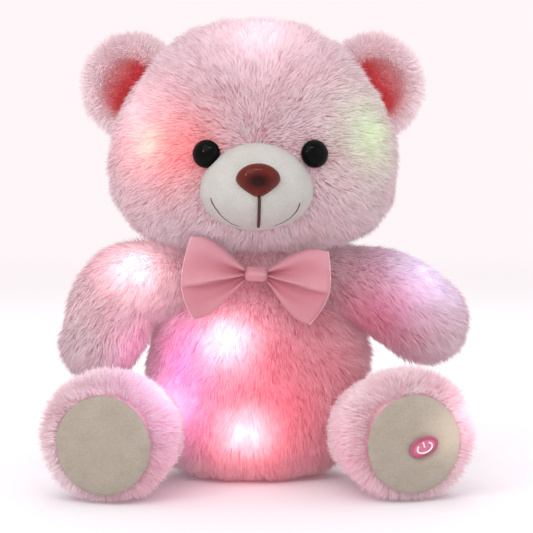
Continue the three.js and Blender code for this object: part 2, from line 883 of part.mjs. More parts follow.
// A cylinder along Y
function backwards(radius, low, high, sides) {
  return cylinder(radius, low, high, sides).rotateX(-Math.PI / 2);
}

function packBox() {
  const inside = boxDepth - packWall;
  const box = moved(block(pack.width, boxDepth, pack.height), 0, boxDepth / 2, pack.height / 2);
  const hollow = moved(
    block(pack.width - 2 * packWall, inside + overrun, pack.height - 2 * packWall),
    0,
    packWall + (inside + overrun) / 2,
    pack.height / 2,
  );
  const shelfBlock = block(pack.width - packWall, inside, packWall);
  const shelf = moved(shelfBlock, 0, boxDepth / 2, bayLow - packWall / 2);
  const ribs = [];
  for (let index = 0; index + 1 < cellCount; index += 1) {
    const x = (cellX(index) + cellX(index + 1)) / 2;
    const width = cellPitch - 2 * cellRadius - 2 * gap;
    const height = ribHeight + packWall / 2;
    const rib = block(width, height, cellLength / 2);
    ribs.push(moved(rib, x, packWall / 2 + height / 2, cellLow + cellLength / 2));
  }
  const boss = backwards(bossRadius, packWall / 2, boxDepth - gap, cellSides);
  const bore = backwards(screwRadius + gap, packWall, boxDepth + overrun, lampSides);
  const wireHole = backwards(wireRadius + gap, -overrun, packWall + gap, wireSides);
  return join([box.subtract(hollow), shelf, ...ribs, moved(boss, bossX, 0, bayMiddle)])
    .subtract(moved(bore, bossX, 0, bayMiddle))
    .subtract(moved(wireHole, 0, 0, bayMiddle));
}

function packCover() {
  const face = boxDepth + gap;
  const middle = face + coverThickness / 2;
  const plate = moved(block(pack.width, coverThickness, pack.height), 0, middle, pack.height / 2);
  const grips = [];
  for (let index = 0; index < coverGrip.count; index += 1) {
    const z = packWall + coverGrip.pitch * (index + 1);
    const bar = block(coverGrip.width, coverThickness, coverGrip.height);
    grips.push(moved(bar, 0, middle + coverGrip.depth, z));
  }
  const hole = backwards(screwRadius + gap, 0, face + overrun, lampSides);
  const recess = backwards(screwHeadRadius + gap, middle, face + overrun, cellSides);
  return join([plate, ...grips])
    .subtract(moved(hole, bossX, 0, bayMiddle))
    .subtract(moved(recess, bossX, 0, bayMiddle));
}

function screwSolid() {
  const head = boxDepth + coverThickness / 2 + 2 * gap;
  const body = solid(
    turned(
      [
        [0, head - screwLength],
        [screwRadius, head - screwLength + screwRadius],
        [screwRadius, head],
        [screwHeadRadius, head],
        [screwHeadRadius, head + screwHeadThickness / 2],
        [screwHeadRadius / 2, head + screwHeadThickness],
        [0, head + screwHeadThickness],
      ],
      lampSides,
    ).rotateX(-Math.PI / 2),
  );
  const slots = [
    block(screwSlot, screwHeadThickness, screwHeadRadius),
    block(screwHeadRadius, screwHeadThickness, screwSlot),
  ];
  return body.subtract(join(slots.map((slot) => moved(slot, 0, head + screwHeadThickness, 0))));
}

function cellGeometry() {
  return turned(
    [
      [0, 0],
      [cellRadius, 0],
      [cellRadius, cellLength],
      [cellNubRadius, cellLength],
      [cellNubRadius, cellLength + cellNub],
      [0, cellLength + cellNub],
    ],
    cellSides,
  );
}

class Helix extends THREE.Curve {
  constructor(radius, height, turns) {
    super();
    Object.assign(this, { radius, height, turns });
  }

  getPoint(share, target = new THREE.Vector3()) {
    const turn = 2 * Math.PI * this.turns * share;
    return target.set(this.radius * Math.cos(turn), this.radius * Math.sin(turn), this.height * share);
  }
}

// A coil of wire that fills a length along Z from zero
function coil(radius, length, wire, turns) {
  const section = new THREE.Shape();
  for (let i = 0; i < springSides; i += 1) {
    const turn = (2 * Math.PI * i) / springSides;
    if (i === 0) section.moveTo(wire, 0);
    else section.lineTo(wire * Math.cos(turn), wire * Math.sin(turn));
  }
  const path = new Helix(radius, length - 2 * wire, turns);
  const steps = turns * springStepsPerTurn;
  const geometry = new THREE.ExtrudeGeometry(section, { steps, extrudePath: path, bevelEnabled: false });
  return geometry.translate(0, 0, wire);
}

function boardSolid() {
  const low = bossX + bossRadius + boardMargin;
  const high = pack.width / 2 - packWall - boardMargin;
  const depth = boxDepth - packWall - 2 * boardMargin;
  const y = packWall + boardMargin + depth / 2;
  const x = (low + high) / 2;
  const plate = moved(block(high - low, depth, boardThickness), x, y, 0);
  const chip = block(chipWidth, chipWidth, boardThickness + chipThickness);
  return plate.add(moved(chip, x, y, chipThickness / 2));
}

function packPieces() {
  const group = new THREE.Group();
  group.position.set(0, packFront, packLow);
  group.add(piece("battery_box", packBox(), mats.shell));
  group.add(piece("battery_cover", packCover(), mats.shell));
  const screw = piece("cover_screw", screwSolid(), mats.steel);
  screw.position.set(bossX, 0, bayMiddle);
  const board = piece("control_board", boardSolid(), mats.board);
  board.position.z = bayMiddle;
  group.add(screw, board);
  for (let index = 0; index < cellCount; index += 1) {
    const number = index + 1;
    const flipped = isFlipped(index);
    const cell = piece("battery_cell_" + number, solid(cellGeometry()), mats.cell);
    const high = packWall + contactRoom + cellNub + cellLength;
    cell.position.set(cellX(index), cellY, flipped ? high : cellLow);
    if (flipped) cell.rotation.x = Math.PI;
    const spring = piece(
      "contact_spring_" + number,
      solid(coil(springRadius, springRoom - 2 * gap, springWire, springTurns)),
      mats.steel,
    );
    spring.position.set(cellX(index), cellY, flipped ? high + gap : packWall + gap);
    const plateBlock = block(contactWidth, contactWidth, contactThickness);
    const plate = piece("contact_plate_" + number, solid(plateBlock), mats.steel);
    const plateLow = flipped ? packWall : cellLow + cellLength + cellNub;
    plate.position.set(cellX(index), cellY, plateLow + gap + contactThickness / 2);
    group.add(cell, spring, plate);
  }
  return group;
}

// Limbs. Everything that moves turns about an axis along X, so its wire passes on that axis

const backAxis = vec(-1, 0, 0);

function rootedForm(form, point, radius, low, high) {
  const body = solid(torsoForm(runningGap)).subtract(ballSeat(point, radius, gap / 2));
  return solid(form).subtract(swept(geometryOf(body), point, backAxis, -high, -low));
}

// The wires of a limb start on the joint's axis, at the inner side of its root ball
function limbHarness(point, side, radius, tails, grow, past) {
  const start = vec(point.x - side * (radius - gap + past), point.y, point.z);
  const runs = [[start, point], ...tails.map((tail) => [point, ...tail])];
  return harness(runs, [point], grow);
}

function armPieces({ side, name, arm }) {
  const point = shoulderPoint(side);
  const onArm = armSpine(side, arm).getPoint(arm.lampShare);
  const direction = vec(...arm.lampLook).normalize();
  const swell = arm.swell * Math.sin(Math.PI * arm.lampShare);
  const radius = arm.rootRadius + (arm.tipRadius - arm.rootRadius) * arm.lampShare + swell;
  const seat = lampSeat(onArm.addScaledVector(direction, radius), direction);
  const wires = (grow, past) => limbHarness(point, side, arm.rootRadius, [lampTail(seat)], grow, past);
  const made = rootedForm(armForm(side, arm, 0), point, arm.rootRadius, armSwing.back, armSwing.forth)
    .subtract(solid(stuffed({ ...head, depth: head.width, forward: 0 }, runningGap, headSides, headRings)))
    .subtract(wires(gap, 2 * gap))
    .subtract(lampPocket(seat));
  const group = new THREE.Group();
  group.add(piece("arm_" + name, made, mats.plush));
  group.add(piece("arm_" + name + "_harness", wires(0, 0), mats.wire));
  group.add(lampPiece("lamp_arm_" + name, seat));
  return group;
}

function soleFrame(side) {
  const direction = vec(side * Math.sin(soleTurn), -Math.cos(soleTurn), 0);
  const across = vec(0, 0, 1).cross(direction);
  return new THREE.Matrix4()
    .makeBasis(across, vec(0, 0, 1), direction)
    .setPosition(footPoint(side).addScaledVector(direction, soleReach).add(vec(0, 0, -padDrop)));
}

function patchFrame() {
  const turn = new THREE.Matrix4().makeRotationZ(patch.turn);
  return soleFrame(1).multiply(at(patch.across, -patch.down, 0)).multiply(turn);
}

function legPieces({ side, name }) {
  const point = hipPoint(side);
  const hasSwitch = side > 0;
  const lampLook = vec(...legLampLook[name]).normalize();
  const seat = lampSeat(footPoint(side).addScaledVector(lampLook, footRadius), lampLook);
  const tails = [lampTail(seat)];
  const frame = patchFrame();
  const switchBack = -switchSink - switchDepth - gap;
  if (hasSwitch) {
    const tail = [vec(0, 0, switchBack - tailLength), vec(0, 0, switchBack)];
    tails.push(tail.map((point) => point.applyMatrix4(frame)));
  }
  const wires = (grow, past) => limbHarness(point, side, legRootRadius, tails, grow, past);
  const span = 3 * footRadius;
  let made = aboveFloor(rootedForm(legForm(side, 0), point, legRootRadius, legLift.down, legLift.up))
    .subtract(placed(block(span, span, span), soleFrame(side).multiply(at(0, 0, span / 2))))
    .subtract(wires(gap, 2 * gap))
    .subtract(lampPocket(seat));
  if (hasSwitch) {
    const switchWell = cylinder(switchRadius + gap, switchBack - gap, overrun, switchSides);
    made = made.subtract(placed(switchWell, frame));
  }
  const group = new THREE.Group();
  group.add(piece("leg_" + name, made, mats.plush));
  group.add(piece("leg_" + name + "_harness", wires(0, 0), mats.wire));
  group.add(lampPiece("lamp_leg_" + name, seat));
  group.add(padPiece(side, name));
  if (hasSwitch) group.add(...switchPieces());
  return group;
}

function padPiece(side, name) {
  const profile = [[0, gap], [padRadius, gap]];
  const edgeSteps = 3;
  for (let i = 0; i <= edgeSteps; i += 1) {
    const angle = ((Math.PI / 2) * i) / edgeSteps;
    const edge = padRadius - padEdge + padEdge * Math.cos(angle);
    profile.push([edge, gap + padThickness - padEdge + padEdge * Math.sin(angle)]);
  }
  profile.push([0, gap + padThickness]);
  let made = placed(turned(profile, padSides), soleFrame(side));
  if (side > 0) {
    made = made.subtract(placed(oval(runningGap, -overrun, overrun), patchFrame()));
  }
  return piece("foot_pad_" + name, made, mats.cream);
}

// Switch: the patch rides on the plunger, in a window of the sole

function oval(grow, low, high) {
  return cylinder(1, low, high, switchSides).scale(patch.width / 2 + grow, patch.height / 2 + grow, 1);
}

function switchPieces() {
  const frame = patchFrame();
  const face = -switchSink;
  const back = face - switchDepth;
  const roof = face - switchWall;
  const flangeTop = roof - gap;
  const flangeLow = flangeTop - buttonFlangeThickness;
  const boardTop = back + switchWall + switchBoardThickness;
  const patchLow = gap + padThickness + patch.proud - patch.thickness;
  const hole = buttonStemRadius + runningGap;
  const housing = turned(
    [
      [switchRadius, back],
      [switchRadius, face],
      [hole, face],
      [hole, roof],
      [switchRadius - switchWall, roof],
      [switchRadius - switchWall, back],
      [switchRadius, back],
    ],
    switchSides,
  );
  const board = cylinder(switchRadius - switchWall - gap, back + switchWall, boardTop, switchSides);
  const button = turned(
    [
      [0, boardTop + pressTravel + gap],
      [buttonNubRadius, boardTop + pressTravel + gap],
      [buttonNubRadius, flangeLow],
      [buttonFlangeRadius, flangeLow],
      [buttonFlangeRadius, flangeTop],
      [buttonStemRadius, flangeTop],
      [buttonStemRadius, patchLow - gap],
      [0, patchLow - gap],
    ],
    switchSides,
  );
  const springLow = boardTop + gap;
  const spring = coil(switchSpringRadius, flangeLow - gap - springLow, springWire, switchSpringTurns);
  return [
    stemmed("switch_housing", solid(housing), mats.shell, frame),
    stemmed("switch_board", solid(board), mats.board, frame),
    stemmed("switch_spring", solid(spring.translate(0, 0, springLow)), mats.steel, frame),
    stemmed("switch_button", solid(button), mats.shell, frame),
    stemmed("power_patch", solid(oval(0, patchLow, patchLow + patch.thickness)), mats.patch, frame),
  ];
}

// Bow: two puffed wings with a fold between their lobes, drawn together by the knot

function wingGeometry(side) {
  const start = knotWidth / 2 + gap;
  return ball(wingSides, wingRings, (share, turn) => {
    const row = Math.round(share * wingRings);
    const along = THREE.MathUtils.clamp((row - 1) / (wingRings - 2), 0, 1);
    const isPole = row === 0 || row === wingRings;
    const flare = Math.min(1, along / wingShares.flareEnd);
    const spread = Math.sin((Math.PI / 2) * flare) ** wingShares.flarePower;
    const halfHeight = (wingRoot + (wingHeight - wingRoot) * spread) / 2;
    const puff = (wingThickness - wingRoot) * Math.sin(Math.PI * along);
    const halfThickness = (wingRoot + (wingEdge - wingRoot) * along + puff) / 2;
    const up = Math.cos(turn);
    const fromCrease = (up - wingShares.creasePlace) / wingShares.creaseWidth;
    const valley = wingShares.creaseDepth * Math.exp(-fromCrease * fromCrease);
    const depth = valley * Math.min(1, along / wingShares.creaseStart);
    const creased = halfThickness * Math.sin(turn) * (1 - depth);
    const corner = 1 - wingShares.corner * up * up;
    const y = -wingSweep * along * along;
    const z = -wingDroop * along;
    if (isPole) return vec(side * (start + wingLength * along), y, z);
    return vec(side * (start + wingLength * along * corner), y + creased, z + halfHeight * up);
  });
}

function bowPieces() {
  const { z: bowHeight } = placeOn(torso, 0, bowHeightShare);
  const bowForward = reachAt(torso, 0, bowHeight) + torso.forward + bowLead;
  const group = new THREE.Group();
  group.position.set(0, -bowForward, bowHeight);
  group.rotation.y = bowTilt;
  for (const { side, name } of sides) {
    group.add(piece("bow_wing_" + name, solid(wingGeometry(side)), mats.satin));
  }
  const outline = new THREE.Shape();
  const w = knotWidth / 2 - knotEdge;
  const h = knotHeight / 2 - knotEdge;
  outline.moveTo(-w, -h);
  outline.lineTo(w, -h);
  outline.lineTo(w, h);
  outline.lineTo(-w, h);
  outline.closePath();
  const knot = new THREE.ExtrudeGeometry(outline, {
    depth: knotDepth - 2 * knotEdge,
    bevelThickness: knotEdge,
    bevelSize: knotEdge,
    bevelSegments: 3,
  });
  knot.translate(0, 0, knotEdge - knotBack).rotateX(Math.PI / 2);
  const chest = geometryOf(solid(torsoForm(gap))).translate(0, bowForward, -bowHeight).rotateY(-bowTilt);
  group.add(piece("bow_knot", solid(knot).subtract(solid(chest)), mats.satin));
  return group;
}

const bear = new THREE.Group();
bear.add(headPieces());
bear.add(torsoPieces());
bear.add(packPieces());
bear.add(bowPieces());
for (const limbPlan of sides) {
  bear.add(armPieces(limbPlan));
  bear.add(legPieces(limbPlan));
}
export default bear;
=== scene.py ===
"""A seated plush bear night light, dressed over its solid frame. Metres, +Z up, and the bear faces -Y."""

import logging
import math
from collections.abc import Callable, Sequence
from dataclasses import dataclass
from enum import Enum

import bpy
import numpy as np
from mathutils import Matrix, Vector
from mathutils.kdtree import KDTree


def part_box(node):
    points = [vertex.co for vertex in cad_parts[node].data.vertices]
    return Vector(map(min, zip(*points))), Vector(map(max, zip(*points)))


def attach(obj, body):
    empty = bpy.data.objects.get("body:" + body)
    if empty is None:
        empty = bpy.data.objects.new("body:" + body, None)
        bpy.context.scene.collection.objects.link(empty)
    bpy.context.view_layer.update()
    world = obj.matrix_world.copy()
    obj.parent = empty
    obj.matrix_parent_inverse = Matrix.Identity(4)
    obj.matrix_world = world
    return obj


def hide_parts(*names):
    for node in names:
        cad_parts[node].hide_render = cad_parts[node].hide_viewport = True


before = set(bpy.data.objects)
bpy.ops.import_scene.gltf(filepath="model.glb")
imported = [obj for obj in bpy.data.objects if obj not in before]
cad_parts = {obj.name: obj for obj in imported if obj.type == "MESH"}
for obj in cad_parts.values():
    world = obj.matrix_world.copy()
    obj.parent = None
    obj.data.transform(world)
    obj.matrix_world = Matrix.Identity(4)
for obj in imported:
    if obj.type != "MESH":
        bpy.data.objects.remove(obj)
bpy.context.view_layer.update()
LOG = logging.getLogger("bear")

Colour = tuple[float, float, float]
Point = tuple[float, float, float]
Comb = Callable[[np.ndarray], np.ndarray]
Trim = Callable[[np.ndarray, np.ndarray], np.ndarray]
CLOTH_OFF_FLOOR = 0.0012
PILE_OFF_FLOOR = 0.0004


class Side(Enum):
    """One of the bear's own two sides, with the sign of X on it."""

    LEFT = 1
    RIGHT = -1

    @property
    def word(self) -> str:
        """The side's name in lower case, as node names end."""
        return self.name.lower()


class Cloth(Enum):
    """The cloths without a long pile."""

    VELOUR = "velour"
    SATIN = "satin"
    LINING = "lining"
    FELT = "felt"


class Moulding(Enum):
    """The hard pieces' ways of being made."""

    POLISHED = "polished"
    MATT = "matt"
    METAL = "metal"


def light_share(value: int) -> float:
    """One display number from 0 to 255 as linear light."""
    share = value / 255
    return share / 12.92 if share <= 0.04045 else ((share + 0.055) / 1.055) ** 2.4


def linear(red: int, green: int, blue: int) -> Colour:
    """Turns a display colour from 0 to 255 into linear light.

    Args:
        red: red share.
        green: green share.
        blue: blue share.

    Returns:
        The colour that a shader takes.
    """
    return light_share(red), light_share(green), light_share(blue)


def unit(vectors: np.ndarray) -> np.ndarray:
    """Rows of vectors at length one."""
    return vectors / np.maximum(np.linalg.norm(vectors, axis=-1, keepdims=True), 1e-12)


def full_turn(sides: int) -> np.ndarray:
    """Evenly spaced angles once round."""
    return np.arange(sides) * 2 * math.pi / sides


def moved(points: np.ndarray, matrix: Matrix) -> np.ndarray:
    """Points carried along by a matrix."""
    whole = np.array(matrix)
    return points @ whole[:3, :3].T + whole[:3, 3]


def bell(away: np.ndarray, size: float) -> np.ndarray:
    """A share that fades like a bell with the distance from a middle."""
    return np.exp(-((away / size) ** 2))


# Meshes


def mesh_piece(
    name: str,
    points: np.ndarray,
    quads: np.ndarray,
    triangles: np.ndarray,
    smooth: bool = True,
) -> bpy.types.Object:
    """Makes a piece from arrays of corners.

    Args:
        name: the piece's name.
        points: corners, one row each.
        quads: corner numbers of the four-sided faces.
        triangles: corner numbers of the three-sided faces.
        smooth: whether the faces are shaded as one surface.

    Returns:
        The new object, in the scene.
    """
    mesh = bpy.data.meshes.new(name)
    quads = np.asarray(quads, np.int32).reshape(-1, 4)
    triangles = np.asarray(triangles, np.int32).reshape(-1, 3)
    mesh.vertices.add(len(points))
    mesh.vertices.foreach_set("co", np.asarray(points, np.float32).ravel())
    loops = np.concatenate([quads.ravel(), triangles.ravel()])
    mesh.loops.add(len(loops))
    mesh.loops.foreach_set("vertex_index", loops)
    starts = np.concatenate(
        [np.arange(len(quads)) * 4, len(quads) * 4 + np.arange(len(triangles)) * 3]
    )
    mesh.polygons.add(len(starts))
    mesh.polygons.foreach_set("loop_start", starts.astype(np.int32))
    mesh.polygons.foreach_set("use_smooth", np.full(len(starts), smooth))
    mesh.update(calc_edges=True)
    made = bpy.data.objects.new(name, mesh)
    bpy.context.scene.collection.objects.link(made)
    return made


def grid_piece(name: str, rows: np.ndarray, keep: np.ndarray | None = None) -> bpy.types.Object:
    """Makes a closed form from rings of points, with a pole at each end.

    Args:
        name: the piece's name.
        rows: rings by sides by three. The first and last ring are drawn together to poles.
        keep: for each face between two rings, whether it stays.

    Returns:
        The new object.
    """
    rings, sides, _ = rows.shape
    points = np.concatenate([rows.reshape(-1, 3), rows[:1].mean(1), rows[-1:].mean(1)])
    ring = np.arange(rings - 1)[:, None] * sides
    side = np.arange(sides)[None, :]
    after = (side + 1) % sides
    quads = np.stack([ring + side, ring + after, ring + sides + after, ring + sides + side], -1)
    if keep is not None:
        quads = quads[keep]
    quads = quads.reshape(-1, 4)
    low, high = rings * sides, rings * sides + 1
    turn = np.arange(sides)
    follow = (turn + 1) % sides
    base = (rings - 1) * sides
    caps = np.concatenate(
        [
            np.stack([follow, turn, np.full(sides, low)], 1),
            np.stack([base + turn, base + follow, np.full(sides, high)], 1),
        ]
    )
    made = mesh_piece(name, points, quads, caps)
    face_out(made)
    return made


def face_out(made: bpy.types.Object) -> None:
    """Turns a piece's faces round if its form is inside out.

    Args:
        made: the piece.
    """
    mesh = made.data
    mesh.calc_loop_triangles()
    corners = np.empty(len(mesh.loop_triangles) * 3, np.int32)
    mesh.loop_triangles.foreach_get("vertices", corners)
    points = np.empty(len(mesh.vertices) * 3, np.float32)
    mesh.vertices.foreach_get("co", points)
    a, b, c = points.reshape(-1, 3)[corners.reshape(-1, 3)].transpose(1, 0, 2)
    if np.einsum("ij,ij->i", a, np.cross(b, c)).sum() < 0:
        mesh.flip_normals()
        mesh.update()


def rounded(made: bpy.types.Object, levels: int = 1) -> bpy.types.Object:
    """Adds a subdivision surface to a piece.

    Args:
        made: the piece.
        levels: how often its faces are divided.

    Returns:
        The same piece.
    """
    finer = made.modifiers.new("finer", "SUBSURF")
    finer.levels = finer.render_levels = levels
    return made


def thread(
    name: str,
    lines: Sequence[np.ndarray],
    radius: float,
    sides: int = 3,
    shares: np.ndarray | None = None,
) -> bpy.types.Object:
    """Makes threads that follow lines of points.

    Args:
        name: the piece's name.
        lines: one array of points for each thread.
        radius: half the thread's width.
        sides: how finely the round of the thread is drawn.
        shares: share of the radius at each point, where a thread tapers.

    Returns:
        A curve object.
    """
    curve = bpy.data.curves.new(name, "CURVE")
    curve.dimensions = "3D"
    curve.bevel_depth = radius
    curve.bevel_resolution = sides
    curve.use_fill_caps = True
    for line in lines:
        spline = curve.splines.new("POLY")
        spline.points.add(len(line) - 1)
        spline.points.foreach_set("co", np.c_[line, np.ones(len(line))].astype(np.float32).ravel())
        if shares is not None:
            spline.points.foreach_set("radius", shares.astype(np.float32))
        spline.use_smooth = True
    made = bpy.data.objects.new(name, curve)
    bpy.context.scene.collection.objects.link(made)
    return made


# Stuffed forms


@dataclass(frozen=True)
class StuffedForm:
    """A stuffed body: an oval whose width swells and leans with its height."""

    width: float
    depth: float
    height: float
    base: float
    forward: float
    low_fullness: float
    high_fullness: float
    lean: float

    def swell(self, angle: np.ndarray) -> np.ndarray:
        """Radius share at an angle from the underside, before it is scaled to one.

        Args:
            angle: angles from the underside.

        Returns:
            A share for each angle.
        """
        up = (1 - np.cos(angle)) / 2
        fullness = self.low_fullness + (self.high_fullness - self.low_fullness) * up
        return np.maximum(np.sin(angle), 0) ** fullness * (1 + self.lean * np.cos(angle))

    def share(self, angle: np.ndarray) -> np.ndarray:
        """Radius share at an angle from the underside, one at the widest place."""
        return self.swell(angle) / self.swell(np.linspace(0.01, math.pi - 0.01, 200)).max()

    def rings(self, inset: float, rings: int, sides: int) -> np.ndarray:
        """Rings of points on the form.

        Args:
            inset: how far inside the form's surface they lie.
            rings: number of rings.
            sides: points in a ring.

        Returns:
            Rings by sides by three.
        """
        angle = np.linspace(0.12, math.pi - 0.12, rings)
        angle = 0.5 * angle + 0.5 * np.linspace(0.05, math.pi - 0.05, rings)
        turn = full_turn(sides)
        share = self.share(angle)[:, None]
        x = (self.width / 2 - inset) * share * np.cos(turn)
        y = (self.depth / 2 - inset) * share * np.sin(turn) - self.forward
        z = self.base + inset + (self.height - 2 * inset) * (1 - np.cos(angle)) / 2
        return np.stack([x, y, np.broadcast_to(z[:, None], x.shape)], -1)

    def inside(self, points: np.ndarray) -> np.ndarray:
        """How far points lie inside the form.

        Args:
            points: rows of points.

        Returns:
            A depth for each point, less than zero outside the form.
        """
        rise = np.clip((points[:, 2] - self.base) / self.height, 0.001, 0.999)
        share = np.maximum(self.share(np.arccos(1 - 2 * rise)), 0.02)
        across = points[:, 0] / (self.width / 2 * share)
        deep = (points[:, 1] + self.forward) / (self.depth / 2 * share)
        out = np.hypot(across, deep)
        side = (1 - out) * np.minimum(self.width, self.depth) / 2 * share
        top = np.minimum(points[:, 2] - self.base, self.base + self.height - points[:, 2])
        return np.minimum(side, top)

    def reach(self, x: float, z: float) -> float:
        """How far the surface lies ahead of or behind the form's middle.

        Args:
            x: place across in the front view.
            z: its height.

        Returns:
            The distance along Y.
        """
        share = float(self.share(np.arccos(np.array([1 - 2 * (z - self.base) / self.height])))[0])
        across = x / (self.width / 2 * share)
        return self.depth / 2 * share * math.sqrt(max(0.0, 1 - across * across))


@dataclass(frozen=True)
class LimbForm:
    """A stuffed limb: a round tube along a bent spine, closed by half balls, cut flat where it has a sole."""

    spine: tuple[Point, ...]
    root_radius: float
    tip_radius: float
    bulge: float
    sole_point: Point | None = None
    sole_look: Point | None = None

    def path(self, shares: np.ndarray) -> np.ndarray:
        """Points along the spine: a centripetal curve through its knots.

        Args:
            shares: shares of the spine from its root.

        Returns:
            One point for each share.
        """
        knots = [np.array(knot) for knot in self.spine]
        knots = [2 * knots[0] - knots[1], *knots, 2 * knots[-1] - knots[-2]]
        spans = len(knots) - 3
        made = []
        for share in np.clip(shares, 0, 1) * spans:
            at = min(int(share), spans - 1)
            t = share - at
            p0, p1, p2, p3 = knots[at : at + 4]
            d0, d1, d2 = (math.sqrt(np.linalg.norm(b - a)) for a, b in ((p0, p1), (p1, p2), (p2, p3)))
            m1 = ((p1 - p0) / d0 - (p2 - p0) / (d0 + d1) + (p2 - p1) / d1) * d1
            m2 = ((p2 - p1) / d1 - (p3 - p1) / (d1 + d2) + (p3 - p2) / d2) * d1
            square = t * t * (3 * (p2 - p1) - 2 * m1 - m2)
            made.append(p1 + t * m1 + square + t**3 * (2 * (p1 - p2) + m1 + m2))
        return np.array(made)

    def radius(self, shares: np.ndarray) -> np.ndarray:
        """Radius at shares of the spine."""
        taper = self.root_radius + (self.tip_radius - self.root_radius) * shares
        return taper + self.bulge * np.sin(math.pi * shares)

    def rings(self, inset: float, rings: int, sides: int) -> np.ndarray:
        """Rings of points on the limb, its caps among them, pressed flat at the sole.

        Args:
            inset: how far inside the limb's surface they lie.
            rings: number of rings.
            sides: points in a ring.

        Returns:
            Rings by sides by three.
        """
        cap = rings // 4
        body = rings - 2 * cap
        along = np.r_[np.zeros(cap), np.linspace(0, 1, body), np.ones(cap)]
        lean = np.r_[
            np.linspace(0.08, math.pi / 2, cap, endpoint=False),
            np.full(body, math.pi / 2),
            np.linspace(math.pi / 2, 0.08, cap + 1)[1:],
        ]
        centre = self.path(along)
        ahead = unit(self.path(np.minimum(along + 0.01, 1)) - self.path(np.maximum(along - 0.01, 0)))
        side = unit(np.cross([0.0, 0.0, 1.0], ahead))
        over = np.cross(ahead, side)
        radius = self.radius(along) - inset
        sign = np.r_[-np.ones(cap), np.zeros(body), np.ones(cap)]
        turn = full_turn(sides)[None, :, None]
        middle = centre + ahead * (radius * np.cos(lean) * sign)[:, None]
        wide = (radius * np.sin(lean))[:, None, None]
        points = middle[:, None] + wide * (side[:, None] * np.cos(turn) + over[:, None] * np.sin(turn))
        if self.sole_point is not None:
            look = np.array(self.sole_look)
            past = (points - np.array(self.sole_point)) @ look + inset * 0.4
            points = points - np.maximum(past, 0)[..., None] * look
        return points

    def inside(self, points: np.ndarray) -> np.ndarray:
        """How far points lie inside the limb.

        Args:
            points: rows of points.

        Returns:
            A depth for each point, less than zero outside the limb.
        """
        shares = np.linspace(0, 1, 16)
        centres = self.path(shares)
        depth = np.full(len(points), -1.0)
        for centre, radius in zip(centres, self.radius(shares)):
            depth = np.maximum(depth, radius - np.linalg.norm(points - centre, axis=1))
        return depth


@dataclass(frozen=True)
class BallForm:
    """A squashed ball that other forms keep clear of."""

    middle: Point
    radii: Point

    def inside(self, points: np.ndarray) -> np.ndarray:
        """How far each point lies inside the ball, less than zero outside it."""
        out = np.linalg.norm((points - np.array(self.middle)) / np.array(self.radii), axis=1)
        return (1 - out) * min(self.radii)


TORSO = StuffedForm(0.127, 0.108, 0.168, -0.0005, 0.0, 0.62, 0.72, 0.32)
HEAD = StuffedForm(0.167, 0.126, 0.131, 0.138, 0.008, 0.6, 0.66, 0.22)
SHOULDER = {side: (side.value * 0.04997, -0.012, 0.1174) for side in Side}
FOOT = {side: (side.value * 0.079, -0.079, 0.0355) for side in Side}
SOLE_TURN = 0.3
SOLE_REACH = 0.024
SOLE_DROP = 0.0023
SOLE_LOOK = {side: (side.value * math.sin(SOLE_TURN), -math.cos(SOLE_TURN), 0.0) for side in Side}


def beyond(start: Point, *offset: float) -> Point:
    """A point moved by an offset."""
    return start[0] + offset[0], start[1] + offset[1], start[2] + offset[2]


def sole_middle(side: Side) -> Point:
    """The middle of a sole, on the face that the foot is cut at."""
    look = SOLE_LOOK[side]
    return beyond(FOOT[side], look[0] * SOLE_REACH, look[1] * SOLE_REACH, -SOLE_DROP)


ARM = {
    Side.LEFT: LimbForm(
        (
            SHOULDER[Side.LEFT],
            beyond(SHOULDER[Side.LEFT], 0.030, -0.005, -0.0085),
            beyond(SHOULDER[Side.LEFT], 0.050, -0.010, -0.0215),
        ),
        0.021,
        0.0245,
        0.0025,
    ),
    Side.RIGHT: LimbForm(
        (
            SHOULDER[Side.RIGHT],
            beyond(SHOULDER[Side.RIGHT], -0.027, -0.004, -0.005),
            beyond(SHOULDER[Side.RIGHT], -0.040, -0.012, -0.0325),
        ),
        0.0205,
        0.023,
        0.0035,
    ),
}
THIGH = {side: (side.value * 0.066, -0.030, 0.031) for side in Side}
ANKLE = {side: beyond(FOOT[side], side.value * 0.0042, 0.0, 0.0) for side in Side}
LEG = {
    side: LimbForm((THIGH[side], ANKLE[side]), 0.0235, 0.0360, 0.0005, sole_middle(side), SOLE_LOOK[side])
    for side in Side
}
MUZZLE = BallForm((0.0, -0.0466, 0.176), (0.033, 0.043, 0.026))


# Finishes


